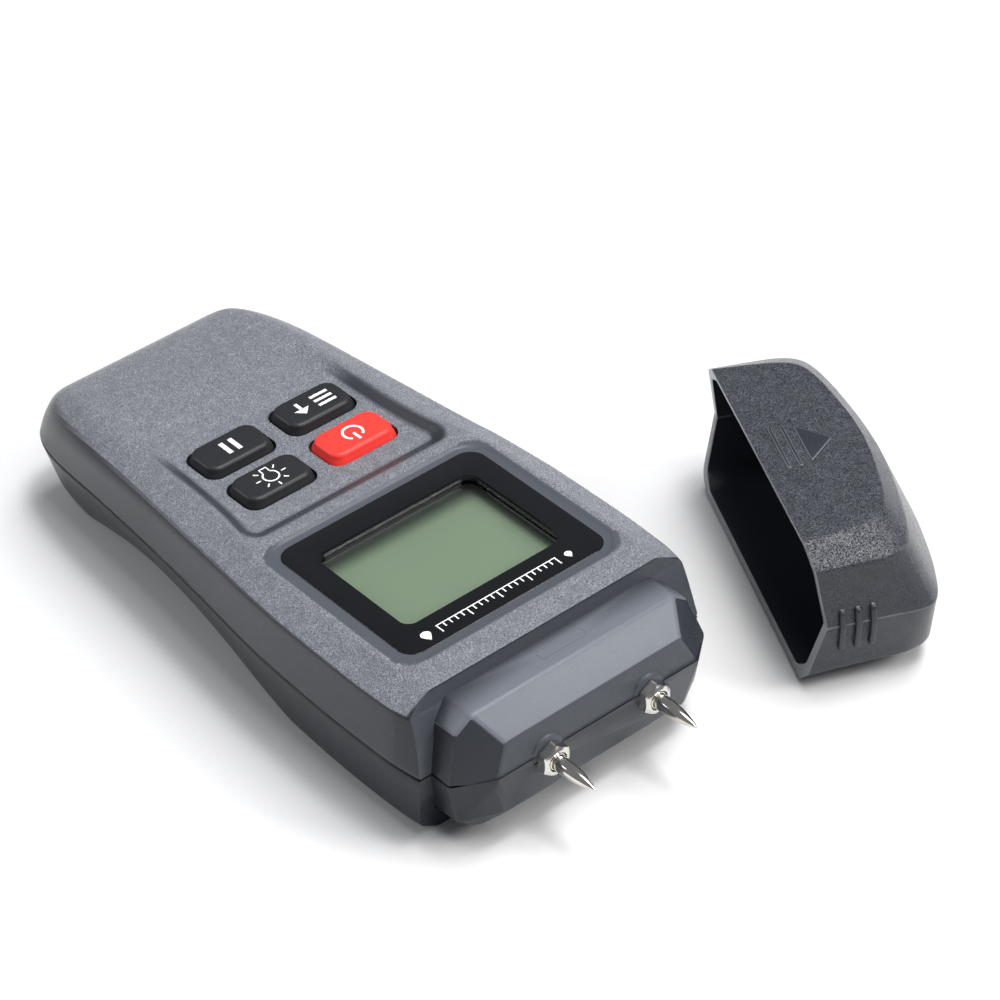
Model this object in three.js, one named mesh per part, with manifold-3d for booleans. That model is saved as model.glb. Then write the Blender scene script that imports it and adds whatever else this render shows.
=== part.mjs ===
// Pin-type moisture meter with its separate protective cap.
// Row frame, millimetres: origin on the flat underside straight below the middle of the display,
// +X to the right of someone reading the display, +Y towards the measuring pins, +Z up out of the display.
import * as THREE from 'three';
import { mergeVertices } from 'three/addons/utils/BufferGeometryUtils.js';
import { ConvexGeometry } from 'three/addons/geometries/ConvexGeometry.js';
import Module from 'manifold-3d';

const wasm = await Module();
wasm.setup();

// ---- driving dimensions (mm) ----
const G = 0.65;                 // pitch of the drawing grid on which the housing outline is laid out
const DISPLAY_Z = 30.5;         // height of the display face above the resting face
const SEAM_DROP = 22.3;         // grid steps from the display face down to the parting line
const SEAM_Z = DISPLAY_Z - G * SEAM_DROP;
const PART_GAP = 0.3;           // parting gap between the two shells
const WALL = 3.3;               // shell wall, grid steps
const BEZEL = { x: 46.2, y: 39.0, r: 3.6, top: 30.2, t: 1.0 };
const WINDOW = { x: 35.6, y: 26.1, r: 2.2, cx: 0, cy: -0.85 };
const KEY = { x: 16.2, y: 9.8, r: 2.6, top: 30.2, gap: 0.35, draft: 0.6, travel: 1.0 };
const KEYS = [
  ['key_power', -9.8, -38.4, 0xff4038],
  ['key_light', 9.4, -38.4, 0x202226],
  ['key_mode', -9.8, -50.9, 0x202226],
  ['key_hold', 9.4, -50.9, 0x202226],
];
const BOARD = { z: 20.2, t: 1.6 };
const PIN = { x: 11.6, shank: 1.75, root: 1.65, tipY: 54.2, nutAF: 5.6, nutY: [42.15, 45.0] };
const SOCKET = { r: 3.3, y0: 29.6, y1: 38.0, bore: 2.1 };
const CELL = { r: 5.2, len: 44.3, pitch: 10.75, z: 13.7, y0: -94.0 };
const BAY = { x: 19.6, y0: -95.0, y1: -48.4, top: 19.1, wall: 1.1 };
const DOOR = { x: 17.7, flange: 19.0, y: -49.6, t: 1.8, endTop: 9.0, gap: 0.3, ledge: 0.8 };
const CAP = { turn: 64.6, x: -58.6, y: 18.9, wall: 2.0, height: 31.2 };
const CASE_SCREWS = [[28.0, 25.0], [-28.0, 25.0], [24.2, -37.5], [-24.2, -37.5]];
const BOARD_SCREWS = [[18, 25.2], [-18, 25.2], [19, -27.6], [-19, -27.6]];

const Z = (g) => DISPLAY_Z + G * g;
const P = (x, y, z) => new THREE.Vector3(x, y, z);

// ---- solids ----
function solid(geometry) {
  const g = geometry.index ? geometry.clone() : geometry.clone();
  for (const k of Object.keys(g.attributes)) if (k !== 'position') g.deleteAttribute(k);
  const m = mergeVertices(g, 1e-4);
  return new wasm.Manifold(new wasm.Mesh({
    numProp: 3,
    vertProperties: new Float32Array(m.attributes.position.array),
    triVerts: new Uint32Array(m.index.array),
  }));
}
function buffer(man) {
  const m = man.getMesh();
  const g = new THREE.BufferGeometry();
  g.setAttribute('position', new THREE.BufferAttribute(new Float32Array(m.vertProperties), 3));
  g.setIndex(new THREE.BufferAttribute(new Uint32Array(m.triVerts), 1));
  return g;
}
// Loft through closed loops of equal length: stations [[y, [[x, z], ...]], ...] with y falling.
const area2 = (pts) => pts.reduce((t, [x, z], i) => { const [u, v] = pts[(i + 1) % pts.length]; return t + x * v - u * z; }, 0);
function loft(rows) {
  const stations = area2(rows[0][1]) > 0 ? rows : rows.map(([y, loop]) => [y, [...loop].reverse()]);
  const n = stations[0][1].length;
  const pos = [];
  const idx = [];
  for (const [y, loop] of stations) for (const [x, z] of loop) pos.push(x, y, z);
  for (let s = 0; s + 1 < stations.length; s++) {
    for (let i = 0; i < n; i++) {
      const a = s * n + i, b = s * n + ((i + 1) % n), c = a + n, d = b + n;
      idx.push(a, b, d, a, d, c);
    }
  }
  for (const [s, first] of [[0, true], [stations.length - 1, false]]) {
    const loop = stations[s][1];
    for (const [a, b, c] of THREE.ShapeUtils.triangulateShape(loop.map(([x, z]) => new THREE.Vector2(x, z)), [])) {
      const ccw = area2([loop[a], loop[b], loop[c]]) > 0;
      const [p, q] = ccw !== first ? [b, c] : [c, b];
      idx.push(s * n + a, s * n + p, s * n + q);
    }
  }
  const g = new THREE.BufferGeometry();
  g.setAttribute('position', new THREE.Float32BufferAttribute(pos, 3));
  g.setIndex(idx);
  return solid(g);
}
const hull = (pts) => solid(new ConvexGeometry(pts));
function rounded(w, h, r, cx = 0, cy = 0) {
  const s = new THREE.Shape();
  const x = cx - w / 2, y = cy - h / 2;
  s.moveTo(x + r, y);
  s.lineTo(x + w - r, y); s.absarc(x + w - r, y + r, r, -Math.PI / 2, 0);
  s.lineTo(x + w, y + h - r); s.absarc(x + w - r, y + h - r, r, 0, Math.PI / 2);
  s.lineTo(x + r, y + h); s.absarc(x + r, y + h - r, r, Math.PI / 2, Math.PI);
  s.lineTo(x, y + r); s.absarc(x + r, y + r, r, Math.PI, Math.PI * 1.5);
  return s;
}
// Plate of a plan outline from z0 to z1.
const plate = (shape, z0, z1, seg = 4) =>
  solid(new THREE.ExtrudeGeometry(shape, { depth: z1 - z0, bevelEnabled: false, curveSegments: seg }).translate(0, 0, z0));
// Prism along X of a Y-Z outline, from -x to +x.
function prismX(yz, x0, x1) {
  const s = new THREE.Shape(yz.map(([y, z]) => new THREE.Vector2(y, z)));
  const g = new THREE.ExtrudeGeometry(s, { depth: x1 - x0, bevelEnabled: false });
  // shape X -> row Y, shape Y -> row Z, depth -> row X
  g.applyMatrix4(new THREE.Matrix4().set(0, 0, 1, x0, 1, 0, 0, 0, 0, 1, 0, 0, 0, 0, 0, 1));
  return solid(g);
}
const block = (x0, x1, y0, y1, z0, z1) =>
  solid(new THREE.BoxGeometry(x1 - x0, y1 - y0, z1 - z0).translate((x0 + x1) / 2, (y0 + y1) / 2, (z0 + z1) / 2));
const rodZ = (x, y, r, z0, z1, seg = 16) =>
  solid(new THREE.CylinderGeometry(r, r, z1 - z0, seg).rotateX(Math.PI / 2).translate(x, y, (z0 + z1) / 2));
const rodY = (x, z, r, y0, y1, seg = 16) =>
  solid(new THREE.CylinderGeometry(r, r, y1 - y0, seg).translate(x, (y0 + y1) / 2, z));
// Turned piece about a line parallel to Y: profile [[radius, y], ...].
const turnedY = (x, z, profile, seg = 16) =>
  new THREE.LatheGeometry(profile.map(([r, y]) => new THREE.Vector2(r, y)), seg).translate(x, 0, z);
const turnedZ = (profile, seg = 16) =>
  new THREE.LatheGeometry(profile.map(([r, y]) => new THREE.Vector2(r, y)), seg).rotateX(Math.PI / 2);

// ---- housing outline: grid steps, one row per station along Y ----
//   y,    seam, shoulder x/z,  rim x/z,     panel x/z,   low edge x/z,  under x/z
const H = [
  [53, 48.4, 45.8, -4.9, 38.4, 0, 30, 0, 46.4, -42.0, 40.0, -46.923],
  [46, 50.0, 47.5, -4.5, 39.4, 0, 30, 0, 47.5, -42.5, 41.0, -46.923],
  [36, 51.0, 49.3, -4.5, 40.4, 0, 30, 0, 48.3, -42.8, 41.5, -46.923],
  [18, 51.3, 49.9, -4.3, 41.0, 0, 30, 0, 48.6, -42.9, 41.5, -46.923],
  [-10, 50.6, 49.6, -4.1, 40.8, 0, 30, 0, 47.8, -42.6, 41.0, -46.923],
  [-22, 49.9, 49.0, -4.1, 40.4, 0, 30, 0, 47.0, -40.6, 40.5, -44.9],
  [-34, 48.8, 48.2, -4.1, 39.6, 0, 30, 0, 46.0, -38.0, 40.0, -42.2],
  [-42, 47.9, 47.4, -4.2, 37.8, -0.3, 29.5, -2.8, 45.2, -36.3, 39.3, -40.6],
  [-54, 46.6, 46.4, -4.3, 35.8, -0.6, 29.2, -3.0, 44.0, -34.6, 38.0, -38.8],
  [-68, 45.2, 45.3, -4.4, 34.8, -0.8, 29.0, -3.0, 42.6, -33.4, 36.8, -37.6],
  [-82, 44.0, 44.2, -4.6, 34.4, -1.0, 29.0, -3.0, 41.2, -33.2, 35.6, -37.4],
  [-96, 43.0, 43.2, -5.0, 34.2, -1.2, 29.2, -2.6, 40.2, -34.0, 34.8, -38.4],
  [-108, 42.2, 42.3, -5.6, 34.0, -1.5, 29.5, -1.8, 39.4, -35.6, 34.2, -40.8],
  [-119, 41.6, 41.3, -6.6, 33.8, -2.0, 29.8, -1.9, 38.6, -37.4, 33.4, -44.0],
  [-129, 41.0, 39.8, -8.2, 33.2, -2.9, 29.6, -2.7, 37.6, -38.6, 32.6, -46.7],
  [-139, 39.6, 37.4, -11.0, 31.6, -4.9, 28.2, -4.6, 35.8, -38.6, 31.4, -46.7],
  [-146, 37.2, 34.6, -14.8, 29.6, -9.3, 26.6, -8.9, 33.2, -37.2, 29.6, -44.0],
  [-150, 33.8, 31.8, -18.2, 27.4, -13.8, 25.0, -13.4, 30.4, -34.6, 27.6, -39.6],
  [-152, 29.2, 28.0, -20.2, 25.0, -17.2, 23.0, -16.9, 26.6, -31.0, 24.6, -34.0],
];
const upperLoop = (r, s = 0) => {
  const [, ws, wh, zh, wt, zt, wf, zf] = r;
  const half = [[ws, -SEAM_DROP + s], [wh, zh], [wt, zt], [wf, zf]];
  return [...half, ...half.map(([x, z]) => [-x, z]).reverse()].map(([x, z]) => [x * G, Z(z)]);
};
const lowerLoop = (r, s = 0) => {
  const [, ws, , , , , , , wl, zl, wb, zb] = r;
  const half = [[ws, -SEAM_DROP + s], [wl, zl], [wb, zb]];
  return [...half, ...half.map(([x, z]) => [-x, z]).reverse()].map(([x, z]) => [x * G, Z(z)]);
};
const UP = PART_GAP / 2 / G;
const outerUpper = () => loft(H.map((r) => [r[0] * G, upperLoop(r, UP)]));
const outerLower = () => loft(H.map((r) => [r[0] * G, lowerLoop(r, -UP)]));

// Cavities: the outline pulled in by the wall.
const inner = H.filter((r) => r[0] <= 46 && r[0] >= -147);
inner.unshift([47, ...H[0].slice(1)]);
const cavityUpper = () => loft(inner.map((r) => {
  const [y, ws, wh, zh, , , wf, zf] = r;
  const ceil = Math.min(zf, y > -38 ? -4.9 : zf - 3.4);
  const side = [[ws - WALL, -SEAM_DROP - 3], [Math.min(wh, ws) - WALL - 0.4, Math.min(zh - 2.4, ceil - 1.2)], [Math.min(y > -38 ? 37 : wf + 5, wh - 6), ceil - 0.1]];
  const loop = [...side, ...side.map(([x, z]) => [-x, z]).reverse()];
  return [(y < -146 ? -146.5 : y) * G, loop.map(([x, z]) => [x * G, Z(z)])];
}).filter((s, i, a) => i === 0 || s[0] < a[i - 1][0] - 0.01));
const cavityLower = () => loft(inner.map((r) => {
  const [y, ws, , , , , , , wl, zl, wb, zb] = r;
  const side = [[ws - WALL, -SEAM_DROP + 3], [wl - WALL, zl + 2.2], [wb - 2.2, zb + WALL]];
  const loop = [...side, ...side.map(([x, z]) => [-x, z]).reverse()];
  return [y * G, loop.map(([x, z]) => [x * G, Z(z)])];
}));

// The shells stop in a shallow V in front, under the rim of the cap.
const frontV = () => prismX([[43.35, 4], [43.35, 0.0], [43.7, -2.0], [44.4, -3.7], [46.0, -6.2], [46.9, -10.0], [49.2, -SEAM_DROP], [45.4, -41], [43.6, -52], [70, -52], [70, 4]]
  .map(([y, z]) => [y * G, Z(z)]), -45, 45);
const nosePoints = (sign, inset = 0) => {
  // half of the nose above (+1) or below (-1) the parting line, grid steps
  const s = -SEAM_DROP + sign * (inset ? -3 : UP);
  const up = sign > 0;
  const i = inset;
  const side = up
    ? [[45.6, s, 38], [45.4, s, 56.2], [35.4, s, 64.4], [41.4, -8.2, 38], [41.0, -8.4, 54.4], [36.4, -3.7, 38], [35.4, -3.7, 55.2], [30.6, -11.5, 63.1]]
    : [[45.6, s, 38], [45.4, s, 56.2], [35.4, s, 64.4], [43.0, -38.4, 38], [42.4, -38.0, 55.0], [37.0, -43.4, 38], [35.6, -43.2, 54.8], [31.4, -35.2, 62.8]];
  const pts = [];
  for (const [x, z, y] of side) {
    const zz = z === s ? z : z + (up ? -i : i);
    const yy = y === 38 ? (i ? 30 : 38) : y - i;
    for (const m of [1, -1]) pts.push(P(m * (x - i) * G, yy * G, Z(zz)));
  }
  return pts;
};

// ---- pin seats ----
const pinBores = () => {
  let m = rodY(PIN.x, SEAM_Z, 2.6, 34, 46);
  m = m.add(rodY(-PIN.x, SEAM_Z, 2.6, 34, 46));
  return m;
};
const socketSeats = (z0, z1) => {
  // cross walls that clamp each socket
  let m = block(-17.5, 17.5, 31.2, 33.0, z0, z1).add(block(-17.5, 17.5, 35.6, 37.2, z0, z1));
  for (const s of [1, -1]) m = m.subtract(rodY(s * PIN.x, SEAM_Z, SOCKET.r + 0.3, 28, 38.4));
  return m;
};

// ---- front shell ----
const bossesUpper = () => {
  let m = null;
  for (const [x, y] of CASE_SCREWS) {
    const b = rodZ(x, y, 2.5, SEAM_Z + 0.15, 28.2, 14);
    m = m ? m.add(b) : b;
  }
  for (const [x, y] of BOARD_SCREWS) m = m.add(rodZ(x, y, 1.9, BOARD.z + BOARD.t + 0.3, 28.2, 12));
  return m;
};
let front = outerUpper().subtract(frontV()).add(hull(nosePoints(1)));
let cav = cavityUpper().add(hull(nosePoints(1, 3.2)));
front = front.subtract(cav);
front = front.add(bossesUpper().add(socketSeats(SEAM_Z + 0.15, 28.3)).intersect(outerUpper().subtract(frontV()).add(hull(nosePoints(1)))));
front = front.subtract(plate(rounded(BEZEL.x + 0.6, BEZEL.y + 0.6, BEZEL.r + 0.3), 28.5, 34));
front = front.subtract(plate(rounded(BEZEL.x + 3.2, BEZEL.y + 3.2, BEZEL.r + 1.5), 30.25, 34));
front = front.subtract(plate(rounded(40, 32.2, 2), 20, 34));
for (const [, x, y] of KEYS) front = front.subtract(plate(rounded(KEY.x + 2 * KEY.gap, KEY.y + 2 * KEY.gap, KEY.r + KEY.gap, x, y), 20, 34, 3));
for (const [x, y] of CASE_SCREWS) front = front.subtract(rodZ(x, y, 1.25, 10, 25.0, 10));
for (const [x, y] of BOARD_SCREWS) front = front.subtract(rodZ(x, y, 0.95, 18, 26.6, 8));
front = front.subtract(pinBores());

// ---- rear shell ----
const underZ = (y) => {
  const g = y / G;
  for (let i = 0; i + 1 < H.length; i++) {
    const [a, b] = [H[i], H[i + 1]];
    if (g <= a[0] && g >= b[0]) return Z(a[11] + ((b[11] - a[11]) * (a[0] - g)) / (a[0] - b[0]));
  }
  return g > H[0][0] ? Z(H[0][11]) : Z(H[H.length - 1][11]);
};
const doorY = [DOOR.y, ...H.map((r) => r[0] * G).filter((y) => y < DOOR.y - 0.5 && y > -94.5)];
const insideCurve = (rise, y0, endY) => [[y0, underZ(DOOR.y) + rise], ...doorY.slice(1).map((y) => [y, underZ(y) + rise]), [endY, underZ(-94.5) + rise]];
// Y-Z outline of the door's inside face, pushed inwards by d, closed far outside the underside.
const doorOutline = (rise, y0, endY, top, low = null) => {
  const inside = [...insideCurve(rise, y0, endY), [endY, top], [-104, top]];
  const outside = low === null
    ? [[-104, -6], [y0, -6]]
    : [[-104, low + 0.2], ...doorY.slice(1).reverse().map((y) => [y, underZ(y) + low]), [y0, underZ(DOOR.y) + low]];
  return [...inside, ...outside];
};
const bayBlock = () => block(-BAY.x - BAY.wall, BAY.x + BAY.wall, BAY.y0 - BAY.wall, BAY.y1 + BAY.wall, 0, BAY.top + 0.8);
const bossesLower = () => {
  let m = null;
  for (const [x, y] of CASE_SCREWS) {
    const b = rodZ(x, y, 3.5, -2, SEAM_Z - 0.15, 16);
    m = m ? m.add(b) : b;
  }
  return m;
};
const shellLower = outerLower().subtract(frontV()).add(hull(nosePoints(-1)));
let rear = shellLower.subtract(cavityLower().add(hull(nosePoints(-1, 3.2))));
const upperRoom = cavityUpper().scale([0.98, 1, 1]).translate([0, 0.5, -0.5]);
rear = rear.add(bossesLower().add(socketSeats(1.0, SEAM_Z - 0.15)).intersect(shellLower));
rear = rear.add(bayBlock().intersect(shellLower.add(upperRoom)));
rear = rear.subtract(block(-BAY.x, BAY.x, BAY.y0, BAY.y1, 8.3, BAY.top));
const bayRoom = [...insideCurve(2.0, DOOR.y + 0.3, -94.9), [-94.9, BAY.top], [DOOR.y + 0.3, BAY.top]];
rear = rear.subtract(prismX(bayRoom, -BAY.x, BAY.x));
rear = rear.subtract(prismX(doorOutline(DOOR.t + 0.3, DOOR.y + DOOR.gap, -94.9, DOOR.endTop + 0.3), -DOOR.x - DOOR.gap, DOOR.x + DOOR.gap));
rear = rear.subtract(prismX(doorOutline(DOOR.t + 0.3, DOOR.y + DOOR.gap, -94.9, DOOR.endTop + 0.3, DOOR.ledge), -DOOR.flange - DOOR.gap, DOOR.flange + DOOR.gap));
for (const [x, y] of CASE_SCREWS) rear = rear.subtract(rodZ(x, y, 1.5, -3, 30, 10)).subtract(rodZ(x, y, 2.6, -3, 9.5, 14));
rear = rear.subtract(pinBores());

// ---- battery door ----
let door = prismX(doorOutline(DOOR.t, DOOR.y, -95.6, DOOR.endTop), -DOOR.x, DOOR.x)
  .add(prismX(doorOutline(DOOR.t, DOOR.y, -95.6, DOOR.endTop, DOOR.ledge + 0.3), -DOOR.flange, DOOR.flange));
door = door.intersect(outerLower());
// thumb grooves across the door
for (let i = 0; i < 4; i++) {
  const y = -62.5 - i * 2.6;
  door = door.subtract(prismX([[y - 0.7, underZ(y) - 0.6], [y + 0.7, underZ(y) - 0.6], [y, underZ(y) + 0.6]], -7, 7));
}

// ---- protective cap, drawn as it sits on the nose, then laid beside the meter ----
// half outlines in plan, grid steps from the rim's middle: [x, y]
const CAP_TOP = [[42.2, 0], [39.6, 17], [38.4, 21], [36.0, 24.6], [30, 27.2], [18, 29.5], [6, 30.9]];
const CAP_SHOULDER = [[49.6, 0], [48.8, 19]];
const CAP_SEAM = [[52.3, 0], [52.2, 30.5], [51.0, 34.6], [47.5, 37.4], [42, 39.2], [28, 41.8], [10, 43.4]];
const CAP_LOW = [[49.4, -1.6], [48.9, 28]];
const CAP_UNDER = [[43.4, -1.6], [40.6, 22], [39.6, 30], [36.5, 35.4], [29, 37.6], [12, 39.0]];
const CAP_TOP_Z = CAP.height / G - DISPLAY_Z / G;   // grid steps above the display face
const CAP_H = CAP.height / G;
const capPoints = (i) => {
  const layers = [[CAP_TOP, 0], [CAP_SHOULDER, 5.4], [CAP_SEAM, 23.6], [CAP_LOW, 41.0], [CAP_UNDER, CAP_H]];
  const pts = [];
  for (const [outline, drop] of layers) {
    const d = drop === 0 ? i : drop === CAP_H ? CAP_H - 1.4 * i : drop + (drop < 10 ? 0.5 * i : drop > 40 ? -0.4 * i : 0);
    for (const [x, y] of outline) for (const m of [1, -1]) {
      pts.push(P(m * (x - i * (drop === 0 || drop === CAP_H ? 0.75 : 1)) * G, (y <= 0 ? (i ? -8 : y) : y - i) * G, CAP.height - d * G));
    }
  }
  return pts;
};
const capZ = (drop) => CAP.height - drop * G;
let cap = hull(capPoints(0)).subtract(hull(capPoints(CAP.wall / G)));
cap = cap.subtract(prismX([[-4, -1], [0, -1], [0, 0.6], [1.3, 6], [3.6, 23.6], [-1.6, 43.5], [-4, 43.5]].map(([y, d]) => [y * G, capZ(d)]), -45, 45));
for (const s of [1, -1]) {
  for (const y of [8.2, 12.7, 17.1]) {
    cap = cap.add(hull([18.6, 23.6, 33.0].flatMap((d) => [y - 0.75, y + 0.75].flatMap((yy) =>
      [P(s * 48.6 * G, yy * G, capZ(d)), P(s * (d === 23.6 ? 53.6 : d < 20 ? 53.0 : 52.4) * G, yy * G, capZ(d))]))));
  }
}
for (const y of [7.0, 10.5]) cap = cap.add(block(-9.5 * G, 9.5 * G, (y - 0.55) * G, (y + 0.55) * G, capZ(1), capZ(-0.4)));
cap = cap.add(plate(new THREE.Shape([[-8.4, 13.8], [8.4, 13.8], [0, 22.4]].map(([x, y]) => new THREE.Vector2(x * G, y * G))), capZ(1), capZ(-0.4)));

// ---- keys and inner pieces ----
const keyShape = (x, y) => {
  const skirt = plate(rounded(KEY.x + 1.1, KEY.y + 1.1, KEY.r + 0.5, x, y), 25.35, 26.05, 3);
  const body = hull([[0, 26.0], [0, 27.6], [KEY.draft, KEY.top - 0.6], [KEY.draft + 0.6, KEY.top]].flatMap(([d, z]) =>
    rounded(KEY.x - 2 * d, KEY.y - 2 * d, KEY.r - 0.3 * d, x, y).getPoints(3).map((p) => P(p.x, p.y, z))));
  return skirt.add(body);
};
let web = plate(rounded(43, 27.4, 2, -0.2, -44.6), 25.35, 26.05, 3);
for (const [, x, y] of KEYS) web = web.subtract(plate(rounded(KEY.x + 2, KEY.y + 2, KEY.r + 1, x, y), 25, 27, 3));
const switchShape = (x, y) => block(x - 3, x + 3, y - 3, y + 3, 22.0, 23.6).add(rodZ(x, y, 1.6, 23.5, 24.15, 12));

const boardOutline = new THREE.Shape([[-25.2, 29], [-25.2, -33], [-21.2, -33], [-21.2, -57.4], [21.2, -57.4], [21.2, -33], [25.2, -33], [25.2, 29]]
  .reverse().map(([x, y]) => new THREE.Vector2(x, y)));
let board = plate(boardOutline, BOARD.z, BOARD.z + BOARD.t);
for (const [x, y] of BOARD_SCREWS) board = board.subtract(rodZ(x, y, 1.5, 10, 30, 12));

let lcdFrame = block(-22.6, 22.6, -20.2, 18.6, 22.05, 27.1).subtract(block(-20.4, 20.4, -18.2, 16.5, 21, 26.85)).subtract(plate(rounded(36.6, 28.4, 1), 20, 30, 3));
const bezel = plate(rounded(BEZEL.x, BEZEL.y, BEZEL.r), BEZEL.top - BEZEL.t, BEZEL.top)
  .subtract(plate(rounded(WINDOW.x, WINDOW.y, WINDOW.r, WINDOW.cx, WINDOW.cy), 28, 31));
const lens = plate(rounded(BEZEL.x - 0.6, BEZEL.y - 0.6, BEZEL.r - 0.3), 28.55, 29.1);

const pinProfile = [[0, 31.5], [1.5, 31.5], [PIN.shank, 32.1], [PIN.shank, 45.3], [PIN.root, 45.5], [1.55, 46.8], [1.2, 49.6], [0.62, 52.6], [0.15, 54.05], [0, PIN.tipY]];
const nutShape = (x) => {
  const r = PIN.nutAF / 2 / Math.cos(Math.PI / 6);
  return solid(new THREE.CylinderGeometry(r, r, PIN.nutY[1] - PIN.nutY[0], 6).rotateY(Math.PI / 7).translate(x, (PIN.nutY[0] + PIN.nutY[1]) / 2, SEAM_Z))
    .subtract(rodY(x, SEAM_Z, PIN.shank + 0.25, 40, 47));
};
const socketShape = (x) => rodY(x, SEAM_Z, SOCKET.r, SOCKET.y0, SOCKET.y1).subtract(rodY(x, SEAM_Z, SOCKET.bore, 31.0, 40));
// springy brass strip from the back of a socket up to the front edge of the board
const stripShape = (x) => prismX([[29.3, 14.2], [29.3, 22.6], [26.2, 22.6], [26.2, 22.1], [28.8 + 0.1, 22.1], [28.9, 14.2]].map(([y, z]) => [y, z]), x - 1.6, x + 1.6)
  .subtract(block(x - 3, x + 3, 28.0, 29.05, BOARD.z - 0.3, BOARD.z + BOARD.t + 0.3));

const cellProfile = (y0) => [[0, y0], [3.4, y0], [CELL.r, y0 + 0.5], [CELL.r, y0 + CELL.len - 1.6], [2.2, y0 + CELL.len - 1.2], [1.9, y0 + CELL.len], [0, y0 + CELL.len]];
const contactPlate = (y0, y1) => block(-16.2, 16.2, y0, y1, 9.6, 17.8);
const screwProfile = (headR, headT, r, len) => [[0, 0], [headR * 0.8, 0], [headR, headT * 0.4], [headR, headT], [r, headT + 0.1], [r, headT + len - 0.8], [0, headT + len]];

// ---- assembly ----
const meter = new THREE.Group();
function add(name, geometry, color, roughness, metalness = 0, pos = null) {
  const g = geometry.isBufferGeometry ? geometry : buffer(geometry);
  const mesh = new THREE.Mesh(g, new THREE.MeshStandardMaterial({ color, roughness, metalness }));
  mesh.name = name;
  if (pos) mesh.position.set(...pos);
  meter.add(mesh);
  return mesh;
}
add('front_shell', front, 0x686e77, 0.5);
add('rear_shell', rear, 0x53585f, 0.5);
add('battery_door', door, 0x53585f, 0.5);
add('display_bezel', bezel, 0x101214, 0.08);
add('display_lens', lens, 0xdde6e2, 0.05);
add('lcd_frame', lcdFrame, 0x17181a, 0.6);
add('lcd_panel', block(-20, 20, -17.8, 16.1, 25.0, 26.6), 0x7f9a80, 0.2);
add('backlight_panel', block(-19.5, 19.5, -15.4, 15.6, 22.6, 24.7), 0xe8ece4, 0.4);
add('zebra_strip', block(-18.5, 18.5, -17.6, -15.9, 22.1, 24.75), 0x3a3a3e, 0.8);
add('main_board', board, 0x1f6b3c, 0.5);
add('keypad_web', web, 0x2a2c30, 0.8);
for (const [name, x, y, color] of KEYS) add(name, keyShape(x, y), color, 0.6);
for (const [name, x, y] of KEYS) add(name.replace('key', 'switch'), switchShape(x, y), 0x2b2b2e, 0.5);
add('controller_chip', block(-6, 6, -2, 10, 18.2, 20.0), 0x1a1a1c, 0.6);
add('amplifier_chip', block(-2.5, 2.5, 17, 20.9, 18.5, 20.0), 0x1a1a1c, 0.6);
add('capacitor', turnedZ([[0, 0], [2.4, 0], [2.5, 0.4], [2.5, 5.0], [2.2, 5.4], [0, 5.4]], 14), 0x2b3550, 0.4, 0.1, [12, 2, 14.5]);
for (const [side, s] of [['left', -1], ['right', 1]]) {
  add(`pin_${side}`, turnedY(s * PIN.x, SEAM_Z, pinProfile, 16), 0xd4d0c8, 0.15, 1);
  add(`pin_nut_${side}`, nutShape(s * PIN.x), 0xc9c6bf, 0.2, 1);
  add(`pin_socket_${side}`, socketShape(s * PIN.x), 0xc2a25a, 0.3, 1);
  add(`contact_strip_${side}`, stripShape(s * PIN.x), 0xc2a25a, 0.3, 1);
}
[-1, 0, 1].forEach((k, i) => add(`battery_cell_${i + 1}`, turnedY(k * CELL.pitch, CELL.z, cellProfile(CELL.y0), 18), 0x2f5f8c, 0.35, 0.3));
add('battery_contact_front', contactPlate(-49.4, -48.8), 0xd0cdc6, 0.25, 1);
add('battery_contact_rear', contactPlate(-94.9, -94.4), 0xd0cdc6, 0.25, 1);
add('battery_pad', block(-14, 14, -90, -84, underZ(-84) + DOOR.t + 0.15, 7.9), 0x35363a, 0.95);
CASE_SCREWS.forEach(([x, y], i) => add(`case_screw_${i + 1}`, turnedZ(screwProfile(2.3, 1.6, 1.05, 12.0), 12), 0x8c8f94, 0.3, 1, [x, y, 7.6]));
BOARD_SCREWS.forEach(([x, y], i) => add(`board_screw_${i + 1}`, turnedZ(screwProfile(1.8, 1.1, 0.8, 4.6), 10), 0x8c8f94, 0.3, 1, [x, y, 18.9]));
const capMesh = add('protective_cap', cap, 0x2b2e34, 0.55);
capMesh.position.set(CAP.x, CAP.y, 0);
capMesh.rotation.z = THREE.MathUtils.degToRad(CAP.turn);

export default meter;
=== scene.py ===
import math

import bmesh
import bpy
import numpy as np
from mathutils import Matrix, Vector


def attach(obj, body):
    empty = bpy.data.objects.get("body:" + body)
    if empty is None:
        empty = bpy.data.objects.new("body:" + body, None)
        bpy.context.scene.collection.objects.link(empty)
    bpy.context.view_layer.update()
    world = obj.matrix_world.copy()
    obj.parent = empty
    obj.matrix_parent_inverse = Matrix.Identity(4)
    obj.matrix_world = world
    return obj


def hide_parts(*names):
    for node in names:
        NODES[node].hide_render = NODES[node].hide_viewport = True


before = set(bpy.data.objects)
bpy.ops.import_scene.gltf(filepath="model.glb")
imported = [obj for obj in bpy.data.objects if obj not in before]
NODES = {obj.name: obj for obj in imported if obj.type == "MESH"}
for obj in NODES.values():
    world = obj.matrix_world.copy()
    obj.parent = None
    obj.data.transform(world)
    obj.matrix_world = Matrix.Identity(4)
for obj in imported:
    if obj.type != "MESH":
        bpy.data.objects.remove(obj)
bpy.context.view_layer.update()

# ---------------------------------------------------------------- sizes, millimetres
G = 0.65
TOP = 30.5
SEAM = TOP - 22.3 * G
GAP = 0.15
PIN_X = 11.6
KEYS = {"power": (-9.9, -38.4), "light": (9.2, -38.4), "mode": (-9.9, -50.9), "hold": (9.2, -50.9)}
KEY = (15.6, 9.6, 2.5, 30.2)
CAP_POS, CAP_TURN, CAP_H = (-58.6, 18.9), 64.6, 31.2
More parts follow.
